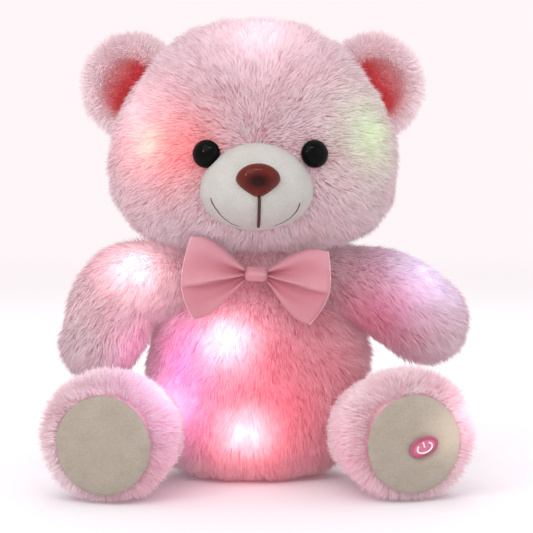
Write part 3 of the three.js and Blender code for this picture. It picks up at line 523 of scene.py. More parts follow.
class Graph:
    """A material's nodes, written by short calls."""

    def __init__(self, name: str) -> None:
        """Starts an empty material with its Principled shader.

        Args:
            name: the material's name.
        """
        self.material = bpy.data.materials.new(name)
        self.material.use_nodes = True
        self.nodes = self.material.node_tree.nodes
        self.links = self.material.node_tree.links
        self.shader = self.nodes["Principled BSDF"]

    def node(self, kind: str, inputs: dict | None = None, **settings: object) -> bpy.types.Node:
        """Adds a node.

        Args:
            kind: the node's type after ShaderNode.
            inputs: sockets by name or number, each a value or another socket.
            settings: the node's own properties.

        Returns:
            The node.
        """
        made = self.nodes.new("ShaderNode" + kind)
        for key, value in settings.items():
            setattr(made, key, value)
        for key, value in (inputs or {}).items():
            self.put(made.inputs[key], value)
        return made

    def put(self, socket: bpy.types.NodeSocket, value: object) -> None:
        """Sets a socket to a value, or links another socket to it."""
        if isinstance(value, bpy.types.NodeSocket):
            self.links.new(value, socket)
        elif isinstance(value, tuple) and len(value) == 3 and socket.type == "RGBA":
            socket.default_value = (*value, 1.0)
        else:
            socket.default_value = value

    def maths(self, operation: str, *values: object) -> bpy.types.NodeSocket:
        """The result of a Math node on values or sockets."""
        return self.node("Math", dict(enumerate(values)), operation=operation).outputs[0]

    def attribute(self, name: str) -> bpy.types.NodeSocket:
        """A number kept at each corner of the mesh."""
        return self.node("Attribute", attribute_name=name).outputs["Fac"]

    def place(self) -> bpy.types.NodeSocket:
        """Where a surface point lies on its own piece."""
        return self.node("TexCoord").outputs["Object"]

    def noise(self, size: float, detail: float = 3.0, place: object = None) -> bpy.types.NodeSocket:
        """Soft random grain of a size in metres, from 0 to 1."""
        inputs = {"Vector": place or self.place(), "Scale": 1 / size, "Detail": detail}
        return self.node("TexNoise", inputs).outputs["Fac"]

    def ramp(self, value: bpy.types.NodeSocket, low: float, high: float) -> bpy.types.NodeSocket:
        """A value spread from the range low to high over 0 to 1."""
        return self.node("MapRange", {"Value": value, "From Min": low, "From Max": high}).outputs[0]

    def mix(self, share: object, first: object, second: object) -> bpy.types.NodeSocket:
        """A mix of two colours.

        Args:
            share: the second colour's share.
            first: the first colour.
            second: the second colour.

        Returns:
            A colour socket.
        """
        made = self.node("Mix", data_type="RGBA")
        self.put(made.inputs["Factor"], share)
        self.put(made.inputs[6], first)
        self.put(made.inputs[7], second)
        return made.outputs[2]

    def distance(self, place: object, middle: Point) -> bpy.types.NodeSocket:
        """How far a place lies from a middle point."""
        return self.node("VectorMath", {0: place, 1: middle}, operation="DISTANCE").outputs["Value"]

    def fall(self, away: bpy.types.NodeSocket, size: float, strength: float) -> bpy.types.NodeSocket:
        """A strength that fades like a bell round a middle.

        Args:
            away: distance from the middle.
            size: how far it reaches.
            strength: its strength in the middle.

        Returns:
            A number socket.
        """
        steps = self.maths("DIVIDE", away, size)
        power = self.maths("MULTIPLY", self.maths("MULTIPLY", steps, steps), -1.0)
        return self.maths("MULTIPLY", self.maths("EXPONENT", power), strength)

    def scaled(self, vector: object, share: object) -> bpy.types.NodeSocket:
        """A colour or vector times a share."""
        return self.node("VectorMath", {0: vector, "Scale": share}, operation="SCALE").outputs[0]

    def added(self, first: object, second: object) -> bpy.types.NodeSocket:
        """The sum of two colours or vectors."""
        return self.node("VectorMath", {0: first, 1: second}, operation="ADD").outputs[0]

    def bump(self, height: bpy.types.NodeSocket, distance: float, strength: float) -> None:
        """Raises the surface by a height that a node gives."""
        made = self.node("Bump", {"Height": height, "Distance": distance, "Strength": strength})
        self.links.new(made.outputs[0], self.shader.inputs["Normal"])

    def dress(self, **sockets: object) -> bpy.types.Material:
        """Sets the shader's sockets, their names written with _ for spaces, and gives the material."""
        for key, value in sockets.items():
            self.put(self.shader.inputs[key.replace("_", " ")], value)
        return self.material


@dataclass(frozen=True)
class Glow:
    """The light that a lamp leaves in the pile round it."""

    place: Point
    colour: Colour
    core: float
    core_strength: float
    halo: float
    halo_strength: float
    centre: Colour = (1.0, 0.93, 0.97)


@dataclass(frozen=True)
class PaintedFlush:
    """A warmer tone painted into the pile's colour round a place: painted lamp light or painted shade, as
    each use says.
    """

    place: Point
    size: float
    colour: Colour
    strength: float

    def blend(self, graph: Graph, colour: bpy.types.NodeSocket) -> bpy.types.NodeSocket:
        """A colour with this painted tone mixed in round its place."""
        away = graph.distance(graph.place(), self.place)
        return graph.mix(graph.fall(away, self.size, self.strength), colour, self.colour)


@dataclass(frozen=True)
class PileFinish:
    """Long soft pile with lamps in it: paler at its tips, deeper at its roots, with painted shade in its
    creases.
    """

    name: str
    tip: Colour
    root: Colour
    deep: Colour
    glows: tuple[Glow, ...] = ()
    # strength of a painted glow of the pile's own colour that lifts its shaded sides
    painted_fill_glow: float = 0.13
    # colour of the painted shade in creases, where a piece marks them
    crease: Colour = (0.60, 0.10, 0.12)
    painted_flushes: tuple[PaintedFlush, ...] = ()

    def toned(self, graph: Graph, colour: bpy.types.NodeSocket) -> bpy.types.NodeSocket:
        """The pile's colour with its painted warm tones and the painted shade in its creases."""
        for painted_flush in self.painted_flushes:
            colour = painted_flush.blend(graph, colour)
        # Painted shade: mixed in where the inner attribute marks a fold.
        return graph.mix(graph.attribute("inner"), colour, self.crease)

    def lit(
        self, graph: Graph, share: bpy.types.NodeSocket, colour: bpy.types.NodeSocket
    ) -> bpy.types.NodeSocket:
        """The light painted into the pile as glow: the lamps', and a painted glow of the pile's own colour
        that stands in for the light the fibres pass on between them.

        Args:
            graph: the material being made.
            share: how much of the lamps' light each point sends on.
            colour: the pile's own colour.

        Returns:
            A colour socket.
        """
        place = graph.place()
        total = None
        for glow in self.glows:
            away = graph.distance(place, glow.place)
            parts = (
                (glow.centre, glow.core, glow.core_strength),
                (glow.colour, glow.halo, glow.halo_strength),
            )
            for hue, size, strength in parts:
                tinted = graph.scaled(hue, graph.fall(away, size, strength))
                total = tinted if total is None else graph.added(total, tinted)
        # Painted glow of the pile's own colour.
        painted_own_glow = graph.scaled(colour, self.painted_fill_glow)
        return painted_own_glow if total is None else graph.added(graph.scaled(total, share), painted_own_glow)

    def strands(self) -> bpy.types.Material:
        """The finish of the strands themselves.

        Returns:
            The material.
        """
        graph = Graph(self.name)
        along, tint = (graph.attribute(word) for word in ("along", "tint"))
        patch = graph.ramp(graph.noise(0.03, 2.0), 0.3, 0.7)
        colour = graph.mix(graph.maths("POWER", along, 0.8), self.root, self.tip)
        colour = graph.mix(graph.maths("MULTIPLY", tint, 0.3), colour, linear(255, 240, 244))
        colour = graph.mix(graph.maths("MULTIPLY", patch, 0.22), colour, self.deep)
        colour = self.toned(graph, colour)
        share = graph.maths("MULTIPLY_ADD", tint, 0.5, 0.6)
        share = graph.maths("MULTIPLY", share, graph.maths("MULTIPLY_ADD", along, 0.35, 0.75))
        graph.dress(Emission_Color=self.lit(graph, share, colour), Emission_Strength=1.0)
        return graph.dress(
            Base_Color=colour, Roughness=0.75, Sheen_Weight=0.15, Sheen_Roughness=0.5, Specular_IOR_Level=0.2
        )

    def backing(self) -> bpy.types.Material:
        """The finish of the cloth that the pile stands on.

        Returns:
            The material.
        """
        graph = Graph(self.name + "_backing")
        knit = graph.noise(0.0012, 2.0)
        colour = self.toned(graph, graph.mix(graph.ramp(knit, 0.3, 0.7), self.root, self.deep))
        share = graph.maths("MULTIPLY_ADD", knit, 0.3, 0.5)
        graph.dress(Emission_Color=self.lit(graph, share, colour), Emission_Strength=1.0)
        graph.bump(knit, 0.0004, 0.5)
        return graph.dress(Base_Color=colour, Roughness=0.95, Specular_IOR_Level=0.1)


@dataclass(frozen=True)
class ClothFinish:
    """A short cloth: its two tones, its grain and how it takes the light."""

    name: str
    kind: Cloth
    light: Colour
    dark: Colour
    grain: float = 0.0009
    sheen: float = 0.3
    # colour of the painted shade in the satin's folds
    shade: Colour = linear(176, 80, 94)
    rib: float = 0.0
    glow: Glow | None = None

    def material(self) -> bpy.types.Material:
        """The finish as a material.

        Returns:
            The material.
        """
        graph = Graph(self.name)
        fine = graph.noise(self.grain, 4.0)
        broad = graph.noise(0.012, 3.0)
        blotch = graph.ramp(broad, 0.3, 0.7)
        if self.kind is Cloth.SATIN:
            weave = {"Vector": graph.place(), "Scale": 900.0, "Distortion": 0.6}
            across = graph.node("TexWave", weave, bands_direction="DIAGONAL").outputs["Fac"]
            tone = graph.maths("MULTIPLY_ADD", across, 0.12, graph.maths("MULTIPLY", blotch, 0.3))
            graph.bump(graph.maths("MULTIPLY_ADD", fine, 0.6, across), 0.00012, 0.25)
            # Painted shade: the bow's folds darken towards the shade colour by the attribute that the wings
            # keep.
            deep = graph.maths("MULTIPLY", graph.attribute("crease"), 0.75)
            return graph.dress(
                Base_Color=graph.mix(deep, graph.mix(tone, self.light, self.dark), self.shade),
                Roughness=0.5,
                Sheen_Weight=self.sheen,
                Sheen_Roughness=0.35,
                Specular_IOR_Level=0.35,
            )
        tone = graph.maths("MULTIPLY", blotch, 0.35)
        tone = graph.maths("MULTIPLY_ADD", graph.ramp(fine, 0.25, 0.75), 0.55, tone)
        depth = {Cloth.VELOUR: 0.0006, Cloth.LINING: 0.0003, Cloth.FELT: 0.0004}[self.kind]
        relief = graph.maths("MULTIPLY_ADD", broad, 0.8, fine)
        if self.rib:
            wave = {"Vector": graph.place(), "Scale": 0.31 / self.rib, "Distortion": 2.2, "Detail": 2.0}
            wales = graph.node("TexWave", wave, bands_direction="Z").outputs["Fac"]
            relief = graph.maths("MULTIPLY_ADD", wales, 0.10, relief)
            tone = graph.maths("MULTIPLY_ADD", wales, -0.05, tone)
        graph.bump(relief, depth, 0.6)
        if self.glow:
            away = graph.distance(graph.place(), self.glow.place)
            lit = graph.fall(away, self.glow.halo, self.glow.halo_strength)
            graph.dress(Emission_Color=graph.scaled(self.glow.colour, lit), Emission_Strength=1.0)
        return graph.dress(
            Base_Color=graph.mix(tone, self.light, self.dark),
            Roughness=0.9,
            Sheen_Weight=self.sheen,
            Sheen_Roughness=0.6,
            Specular_IOR_Level=0.2,
        )


@dataclass(frozen=True)
class HardFinish:
    """A moulded, rolled or ground piece: its colour, its wear and its polish, with painted shade and
    reflection round a middle where one is given.
    """

    name: str
    kind: Moulding
    colour: Colour
    wear_and_shade: Colour
    roughness: float
    coat: float = 0.0
    glow: float = 0.0
    shine: float = 0.5
    # middle and size of the painted shade and reflection
    painted_dark_middle: Point | None = None
    painted_dark_middle_size: float = 0.01

    def material(self) -> bpy.types.Material:
        """The finish as a material.

        Returns:
            The material.
        """
        graph = Graph(self.name)
        fine = graph.noise(0.0008, 4.0)
        broad = graph.noise(0.009, 3.0)
        rough = self.roughness
        wear = {Moulding.POLISHED: 0.1, Moulding.MATT: 0.35, Moulding.METAL: 0.3}[self.kind]
        graph.bump(fine, 0.00005 if self.kind is Moulding.POLISHED else 0.0001, 0.15)
        wear_and_shade = graph.maths("MULTIPLY", graph.ramp(broad, 0.35, 0.75), wear)
        # Painted shade and reflection: a dark middle, leaving a lighter rim, stands in for how the glossy
        # dome reflects its surroundings.
        if self.painted_dark_middle:
            stretch = {0: graph.place(), 1: (1.0, 0.0, 1.6)}
            flat = graph.node("VectorMath", stretch, operation="MULTIPLY").outputs[0]
            away = graph.distance(flat, (self.painted_dark_middle[0], 0.0, self.painted_dark_middle[2] * 1.6))
            inside = graph.ramp(away, self.painted_dark_middle_size * 1.25, self.painted_dark_middle_size * 0.45)
            wear_and_shade = graph.maths("MAXIMUM", wear_and_shade, graph.maths("MULTIPLY", inside, 0.9))
        made = graph.dress(
            Base_Color=graph.mix(wear_and_shade, self.colour, self.wear_and_shade),
            Roughness=graph.maths("MULTIPLY_ADD", broad, 0.5 * rough, 0.75 * rough),
            Metallic=1.0 if self.kind is Moulding.METAL else 0.0,
            Coat_Weight=self.coat,
            Coat_Roughness=0.04,
            Specular_IOR_Level=self.shine,
        )
        if self.glow:
            graph.dress(Emission_Color=graph.mix(fine, self.colour, self.wear_and_shade), Emission_Strength=self.glow)
        return made


# Lamps as the pile shows them

WHITE = (1.0, 0.95, 0.98)
LILAC = linear(170, 172, 255)
LIME = linear(90, 255, 100)
BODY_GLOW = Glow((0.012, -0.058, 0.066), linear(255, 70, 105), 0.030, 0.03, 0.055, 0.07, linear(255, 80, 115))
SIDE_GLOW = Glow(
    (-0.046, -0.046, 0.080), linear(255, 80, 205), 0.014, 0.20, 0.024, 0.36, linear(255, 110, 220)
)
ARM_SIDE_GLOW = Glow(
    (-0.062, -0.046, 0.078), linear(255, 80, 190), 0.010, 0.05, 0.021, 0.30, linear(255, 110, 220)
)
# Painted light and shade: a coral tone painted over the lower front of the torso, for the lamps' light
# through the pile and the shade low down.
BODY_PAINTED_LIGHT_AND_SHADE = PaintedFlush((0.022, -0.052, 0.055), 0.068, linear(218, 106, 130), 0.60)
# Painted shade: a deeper pink painted on the left arm where it meets the torso.
ARM_PAINTED_SHADE = PaintedFlush((0.068, -0.038, 0.096), 0.030, linear(212, 104, 134), 0.75)
# Painted light: a red tone painted on the right side of the face, round the red lamp at the temple.
FACE_PAINTED_LAMP_LIGHT = PaintedFlush((-0.040, -0.066, 0.196), 0.022, linear(236, 116, 118), 0.55)
CROWN_GLOW = Glow((0.003, -0.036, 0.263), linear(255, 200, 225), 0.020, 0.30, 0.046, 0.14, WHITE)
TEMPLE_RIGHT_GLOW = Glow(
    (-0.063, -0.050, 0.201), linear(255, 84, 76), 0.011, 0.32, 0.028, 0.34, linear(255, 214, 150)
)
CHEEK_RIGHT_GLOW = Glow((-0.074, -0.036, 0.222), linear(255, 180, 200), 0.014, 0.16, 0.030, 0.10, WHITE)
TEMPLE_LEFT_GLOW = Glow((0.070, -0.044, 0.206), LIME, 0.012, 0.10, 0.024, 0.22, linear(170, 255, 120))
CHEST_GLOW = Glow((-0.018, -0.053, 0.086), linear(255, 85, 140), 0.015, 0.9, 0.025, 0.34)
BELLY_GLOW = Glow((-0.006, -0.055, 0.032), linear(255, 64, 96), 0.014, 0.85, 0.031, 0.42)
ARM_LEFT_GLOW = Glow((0.101, -0.033, 0.121), LILAC, 0.018, 0.42, 0.027, 0.20, linear(206, 232, 255))
ARM_ROSE_GLOW = Glow(
    (0.084, -0.037, 0.108), linear(255, 110, 190), 0.006, 0.03, 0.012, 0.05, linear(255, 140, 210)
)
ARM_RIGHT_GLOW = Glow((-0.071, -0.036, 0.129), linear(255, 132, 152), 0.017, 0.62, 0.034, 0.22, WHITE)
LEG_LEFT_GLOW = Glow((0.121, -0.085, 0.047), linear(255, 100, 170), 0.012, 0.27, 0.024, 0.20, WHITE)
LEG_RIGHT_GLOW = Glow(
    (-0.057, -0.080, 0.057), linear(228, 122, 245), 0.013, 0.42, 0.028, 0.24, linear(238, 225, 255)
)
SPILL_GLOW = Glow(
    (-0.047, -0.038, 0.047), linear(238, 108, 225), 0.012, 0.50, 0.023, 0.40, linear(238, 225, 255)
)

SOLE_GLOW = {
    Side.LEFT: Glow((0.112, -0.100, 0.040), linear(255, 226, 206), 0.0, 0.0, 0.017, 0.32),
    Side.RIGHT: Glow((-0.054, -0.104, 0.046), linear(255, 190, 230), 0.0, 0.0, 0.012, 0.12),
}

PINK_TIP = linear(206, 191, 196)
PINK_ROOT = linear(196, 166, 174)
PINK_DEEP = linear(200, 126, 140)


# Pile


@dataclass(frozen=True)
class Pile:
    """How a piece's pile grows."""

    length: float
    density: float = 2.4e6
    width: float = 0.00048
    lean: float = 0.85
    scatter: float = 0.13
    tuft_gap: float = 0.0052
    pull: float = 0.28
    droop: float = 0.12
    swirl: float = 0.28

    def grow(
        self,
        name: str,
        skin: bpy.types.Object,
        seed: int,
        comb: Comb,
        trim: Trim,
        inner: Comb | None = None,
        parts: int = 1,
    ) -> list[bpy.types.Object]:
        """Grows strands from a skin.

        Args:
            name: the strands' piece name.
            skin: the piece that they stand on.
            seed: start of the random numbers.
            comb: the way that the pile is brushed at each root.
            trim: length share at each root, from its place and normal. Under a tenth, no strand grows.
            inner: how much painted shade each root takes in creases.
            parts: how many pieces the strands are shared out over, side by side.

        Returns:
            The new pieces.
        """
        rng = np.random.default_rng(seed)
        roots, normals = scatter_over(skin, self.density, rng)
        kept = trim(roots, normals)
        alive = kept > 0.1
        roots, normals, kept = roots[alive], normals[alive], kept[alive]
        brushed = comb(roots)
        brushed = brushed - normals * np.einsum("ij,ij->i", brushed, normals)[:, None]
        count = len(roots)
        length = (self.length * kept * np.clip(rng.normal(1, 0.16, count), 0.5, 1.35))[:, None]
        brushed = brushed + waves(roots, rng) * self.swirl
        lower = unit(normals + brushed * self.lean + rng.normal(0, self.scatter, (count, 3)))
        stray = rng.normal(0, self.scatter, (count, 3))
        upper = unit(lower + brushed * self.lean + stray - [0, 0, self.droop])
        middle = roots + lower * length * 0.5
        tip = middle + upper * length * 0.5
        tuft = nearest_tuft(roots, self.tuft_gap, rng)
        own = rng.random(count)
        pull = self.pull * (0.4 + 0.6 * own[:, None])
        tip += (tip[tuft] - tip) * pull
        middle += (middle[tuft] - middle) * pull * 0.35
        tint = 0.55 * rng.random(count)[tuft] + 0.45 * own
        side = unit(np.cross(normals + rng.normal(0, 0.45, (count, 3)), tip - roots))
        side *= self.width / 2 * rng.uniform(0.7, 1.3, (count, 1))
        start = roots - normals * 0.0006
        points = np.stack([start, middle + side, tip, middle - side], 1)
        points[..., 2] = np.maximum(points[..., 2], PILE_OFF_FLOOR)
        # how much painted shade each strand takes in creases
        depth = inner(roots) if inner else np.zeros(count)
        order = np.argsort(roots[:, 0], kind="stable") if parts > 1 else np.arange(count)
        made = []
        for index, chosen in enumerate(np.array_split(order, parts)):
            word = name if parts == 1 else f"{name}_{index + 1}"
            made.append(strand_piece(word, points[chosen], tint[chosen], depth[chosen]))
        return made


def waves(places: np.ndarray, rng: np.random.Generator) -> np.ndarray:
    """Smooth random directions that change over about two centimetres.

    Args:
        places: where they are wanted.
        rng: the random numbers.

    Returns:
        A vector for each place, about one long.
    """
    total = np.zeros_like(places)
    for _ in range(5):
        way = unit(rng.normal(size=3)) * rng.uniform(180, 420)
        total += unit(rng.normal(size=3)) * np.sin(places @ way + rng.uniform(0, 6.3))[:, None] * 0.6
    return total


def scatter_over(
    skin: bpy.types.Object, density: float, rng: np.random.Generator
) -> tuple[np.ndarray, np.ndarray]:
    """Random places on a piece's faces.

    Args:
        skin: the piece.
        density: places for each square metre.
        rng: the random numbers.

    Returns:
        The places and the surface normals there.
    """
    mesh = skin.data
    mesh.calc_loop_triangles()
    corners = np.empty(len(mesh.loop_triangles) * 3, np.int32)
    mesh.loop_triangles.foreach_get("vertices", corners)
    corners = corners.reshape(-1, 3)
    points = np.empty(len(mesh.vertices) * 3, np.float32)
    mesh.vertices.foreach_get("co", points)
    points = points.reshape(-1, 3).astype(float)
    normals = np.empty(len(mesh.vertices) * 3, np.float32)
    mesh.vertex_normals.foreach_get("vector", normals)
    normals = normals.reshape(-1, 3).astype(float)
    a, b, c = points[corners].transpose(1, 0, 2)
    area = np.linalg.norm(np.cross(b - a, c - a), axis=1) / 2
    chosen = rng.choice(len(area), int(area.sum() * density), p=area / area.sum())
    first = np.sqrt(rng.random(len(chosen)))
    second = rng.random(len(chosen))
    weights = np.stack([1 - first, first * (1 - second), first * second], 1)[:, :, None]
    places = (points[corners[chosen]] * weights).sum(1)
    return places, unit((normals[corners[chosen]] * weights).sum(1))


def nearest_tuft(roots: np.ndarray, gap: float, rng: np.random.Generator) -> np.ndarray:
    """For each strand, the strand that its tuft closes on.

    Args:
        roots: where the strands stand.
        gap: distance between tufts.
        rng: the random numbers.

    Returns:
        The number of a strand for each strand.
    """
    area_share = min(1.0, 2.2e-6 / gap**2)
    centres = np.flatnonzero(rng.random(len(roots)) < area_share * 0.3)
    tree = KDTree(len(centres))
    for number in centres:
        tree.insert(roots[number], int(number))
    tree.balance()
    return np.array([tree.find(root)[1] for root in roots])


def strand_piece(name: str, points: np.ndarray, tint: np.ndarray, depth: np.ndarray) -> bpy.types.Object:
    """Makes one piece of strands.

    Args:
        name: the piece's name.
        points: four corners for each strand.
        tint: a random tone for each strand.
        depth: how much painted shade each strand takes in creases.

    Returns:
        The new piece, with what its finish reads kept at its corners.
    """
    count = len(points)
    columns, rows = 64, 32
    first = np.arange(count, dtype=np.int32)[:, None] * 4
    made = mesh_piece(name, points.reshape(-1, 3), first + [0, 1, 2, 3], np.empty((0, 3)), smooth=False)
    along = np.tile([0.0, 0.5, 1.0, 0.5], count)
    for word, values in (("along", along), ("tint", np.repeat(tint, 4)), ("inner", np.repeat(depth, 4))):
        keep_number(made, word, values)
    roots = points[:, 0]
    away = unit(roots - roots.mean(0))
    across = (np.arctan2(away[:, 1], away[:, 0]) / (2 * math.pi) % 1) * columns
    up = np.arccos(np.clip(away[:, 2], -1, 1)) / math.pi * rows
    cell = np.stack([np.minimum(across.astype(int), columns - 1), np.minimum(up.astype(int), rows - 1)], 1)
    cell = np.repeat(cell, 4, 0)
    wide = cell[:, 0] + 0.15 + 0.7 * np.repeat(tint, 4)
    high = cell[:, 1] + 0.1 + 0.8 * along
    spread = made.data.uv_layers.new(name="OFBake")
    spread.data.foreach_set("uv", np.stack([wide / columns, high / rows], 1).astype(np.float32).ravel())
    return made


def keep_number(made: bpy.types.Object, word: str, values: np.ndarray) -> None:
    """Keeps a number at each corner of a piece, for its finish to read."""
    kept = made.data.attributes.new(word, "FLOAT", "POINT")
    kept.data.foreach_set("value", np.asarray(values, np.float32))


def one_way(roots: np.ndarray, aim: Point) -> np.ndarray:
    """The same way for every root, as pile is brushed along a limb."""
    return np.broadcast_to(unit(np.array(aim)), roots.shape)


def finish_piece(
    made: bpy.types.Object, body: str, material: bpy.types.Material
) -> bpy.types.Object:
    """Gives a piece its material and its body.

    Args:
        made: the piece.
        body: the body that it moves with.
        material: its finish.

    Returns:
        The piece.
    """
    made.data.materials.clear()
    made.data.materials.append(material)
    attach(made, body)
    LOG.info("%s rides on %s", made.name, body)
    return made


@dataclass
class PlushPiece:
    """One plush form: the skin that stands for its node, and the pile on it."""

    node: str
    body: str
    finish: PileFinish
    pile: Pile
    seed: int
    inset: float = 0.0036
    parts: int = 1

    def clothe(
        self,
        skin: bpy.types.Object,
        comb: Comb,
        trim: Trim,
        inner: Comb | None = None,
    ) -> None:
        """Finishes the skin and grows its pile.

        Args:
            skin: the form's skin.
            comb: the way that the pile is brushed.
            trim: length share at each root.
            inner: how much painted shade each root takes in creases.
        """
        if inner:
            places = np.array([point.co for point in skin.data.vertices])
            keep_number(skin, "inner", inner(places))
        finish_piece(skin, self.body, self.finish.backing())
        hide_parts(self.node)
        strands = self.finish.strands()
        for made in self.pile.grow(
            self.node + "_pile", skin, self.seed, comb, trim, inner, self.parts
        ):
            finish_piece(made, self.body, strands)


def clear_share(roots: np.ndarray, forms: Sequence[StuffedForm | LimbForm], depth: float) -> np.ndarray:
    """Length shares that leave out strands deep inside other forms.

    Args:
        roots: where the strands stand.
        forms: the other forms.
        depth: how deep a root may lie.

    Returns:
        None or one for each root.
    """
    kept = np.ones(len(roots))
    for form in forms:
        kept[form.inside(roots) > depth] = 0
    return kept


# Head


@dataclass
class Ear:
    """An ear: a thick rim round a soft dish that faces forwards."""

    side: Side
    radius: float = 0.0295
    thickness: float = 0.019
    dish: float = 0.009
    inset: float = 0.003
    across_share: float = 0.862
    back_share: float = 0.19
    height_share: float = 0.73
    turn_out: float = 0.3
    tilt: float = 0.12

    def place(self) -> Matrix:
        """Where the ear stands: its dish looks along +Z of this frame.

        Returns:
            The frame.
        """
        sign = self.side.value
        across = sign * self.across_share * (HEAD.width / 2)
        back = self.back_share * (HEAD.depth / 2) - HEAD.forward
        foot = Matrix.Translation((across, back, HEAD.base + self.height_share * HEAD.height))
        turn_z = Matrix.Rotation(sign * self.turn_out, 4, "Z")
        turn_y = Matrix.Rotation(sign * self.tilt, 4, "Y")
        return foot @ turn_z @ turn_y @ Matrix.Rotation(math.pi / 2, 4, "X")

    def own(self, roots: np.ndarray) -> tuple[np.ndarray, np.ndarray]:
        """Roots in the ear's own frame, and how far each lies from its middle as a share of the radius."""
        local = moved(roots, self.place().inverted())
        return local, np.linalg.norm(local[:, :2], axis=1) / self.radius

    def comb(self, roots: np.ndarray) -> np.ndarray:
        """Brushed out from the middle, less in the dish than on the back.

        Args:
            roots: where the strands stand.

        Returns:
            The way at each root.
        """
        local, spread = self.own(roots)
        out = np.c_[local[:, :2], np.zeros(len(local))]
        brushed = unit(out) * np.where(local[:, 2:] > 0, 0.5 * spread[:, None], 0.9)
        return brushed @ np.array(self.place().to_3x3()).T + np.array([0, 0, -0.15])

    def trim(self, roots: np.ndarray, normals: np.ndarray) -> np.ndarray:
        """Shorter in the dish, none inside the head.

        Args:
            roots: where the strands stand.
            normals: the skin's normals there; not used.

        Returns:
            A length share for each root.
        """
        local, spread = self.own(roots)
        dished = (local[:, 2] > 0) & (spread < 0.62)
        return clear_share(roots, [HEAD], 0.003) * np.where(dished, 0.6, 1.0)

    def inner(self, roots: np.ndarray) -> np.ndarray:
        """How much painted shade each place takes: most in the fold where the dish meets the head, less over
        the rest of the dish.

        Args:
            roots: places on the skin.

        Returns:
            A share for each place.
        """
        local, spread = self.own(roots)
        away = np.maximum(-HEAD.inside(roots), 0)
        # Painted shade: strongest in the fold where the ear meets the head, and thinly over the whole dish.
        deep = bell(away, 0.015) * np.clip((0.74 - spread) / 0.22, 0, 1)
        dished = 0.25 * np.clip((0.66 - spread) / 0.2, 0, 1)
        return np.clip(deep + dished, 0, 1) * (local[:, 2] > 0)

    def rows(self) -> np.ndarray:
        """The skin's rings: the back's half round, then the rim and the dish.

        Returns:
            Rings by sides by three.
        """
        rim = self.thickness / 2
        back = [(math.sin(a), -rim * math.cos(a)) for a in np.linspace(0.1, math.pi / 2, 9)]
        spread = (0.98, 0.94, 0.88, 0.81, 0.74, 0.62, 0.5, 0.35, 0.2, 0.06)
        rise = (0.6, 0.85, 1.0, 1.02, 0.95, 0.62, 0.35, 0.17, 0.08, 0.02)
        front = [(share, rim - self.dish * (1 - up)) for share, up in zip(spread, rise)]
        slim = 1 - self.inset / rim
        profile = np.array([(share * (self.radius - self.inset), z * slim) for share, z in back + front])
        turn = full_turn(40)
        high = np.broadcast_to(profile[:, 1:], (len(profile), len(turn)))
        rows = np.stack([profile[:, :1] * np.cos(turn), profile[:, :1] * np.sin(turn), high], -1)
        return moved(rows.reshape(-1, 3), self.place()).reshape(rows.shape)

    def dress(self) -> None:
        """Makes the ear."""
        name = "ear_" + self.side.word
        finish = PileFinish(
            "ear_plush_" + self.side.word,
            linear(228, 216, 219),
            linear(216, 194, 199),
            linear(212, 168, 176),
            # painted glow of the ear's own colour, raised to lift its shaded rim
            painted_fill_glow=0.16,
            # colour of the painted shade in the dish and in the fold by the head
            crease=linear(214, 88, 94),
        )
        pile = Pile(0.0072, density=2.8e6, lean=0.65, droop=0.05)
        plush = PlushPiece(name, "head", finish, pile, 30 + self.side.value)
        plush.clothe(grid_piece(name + "_skin", self.rows()), self.comb, self.trim, self.inner)


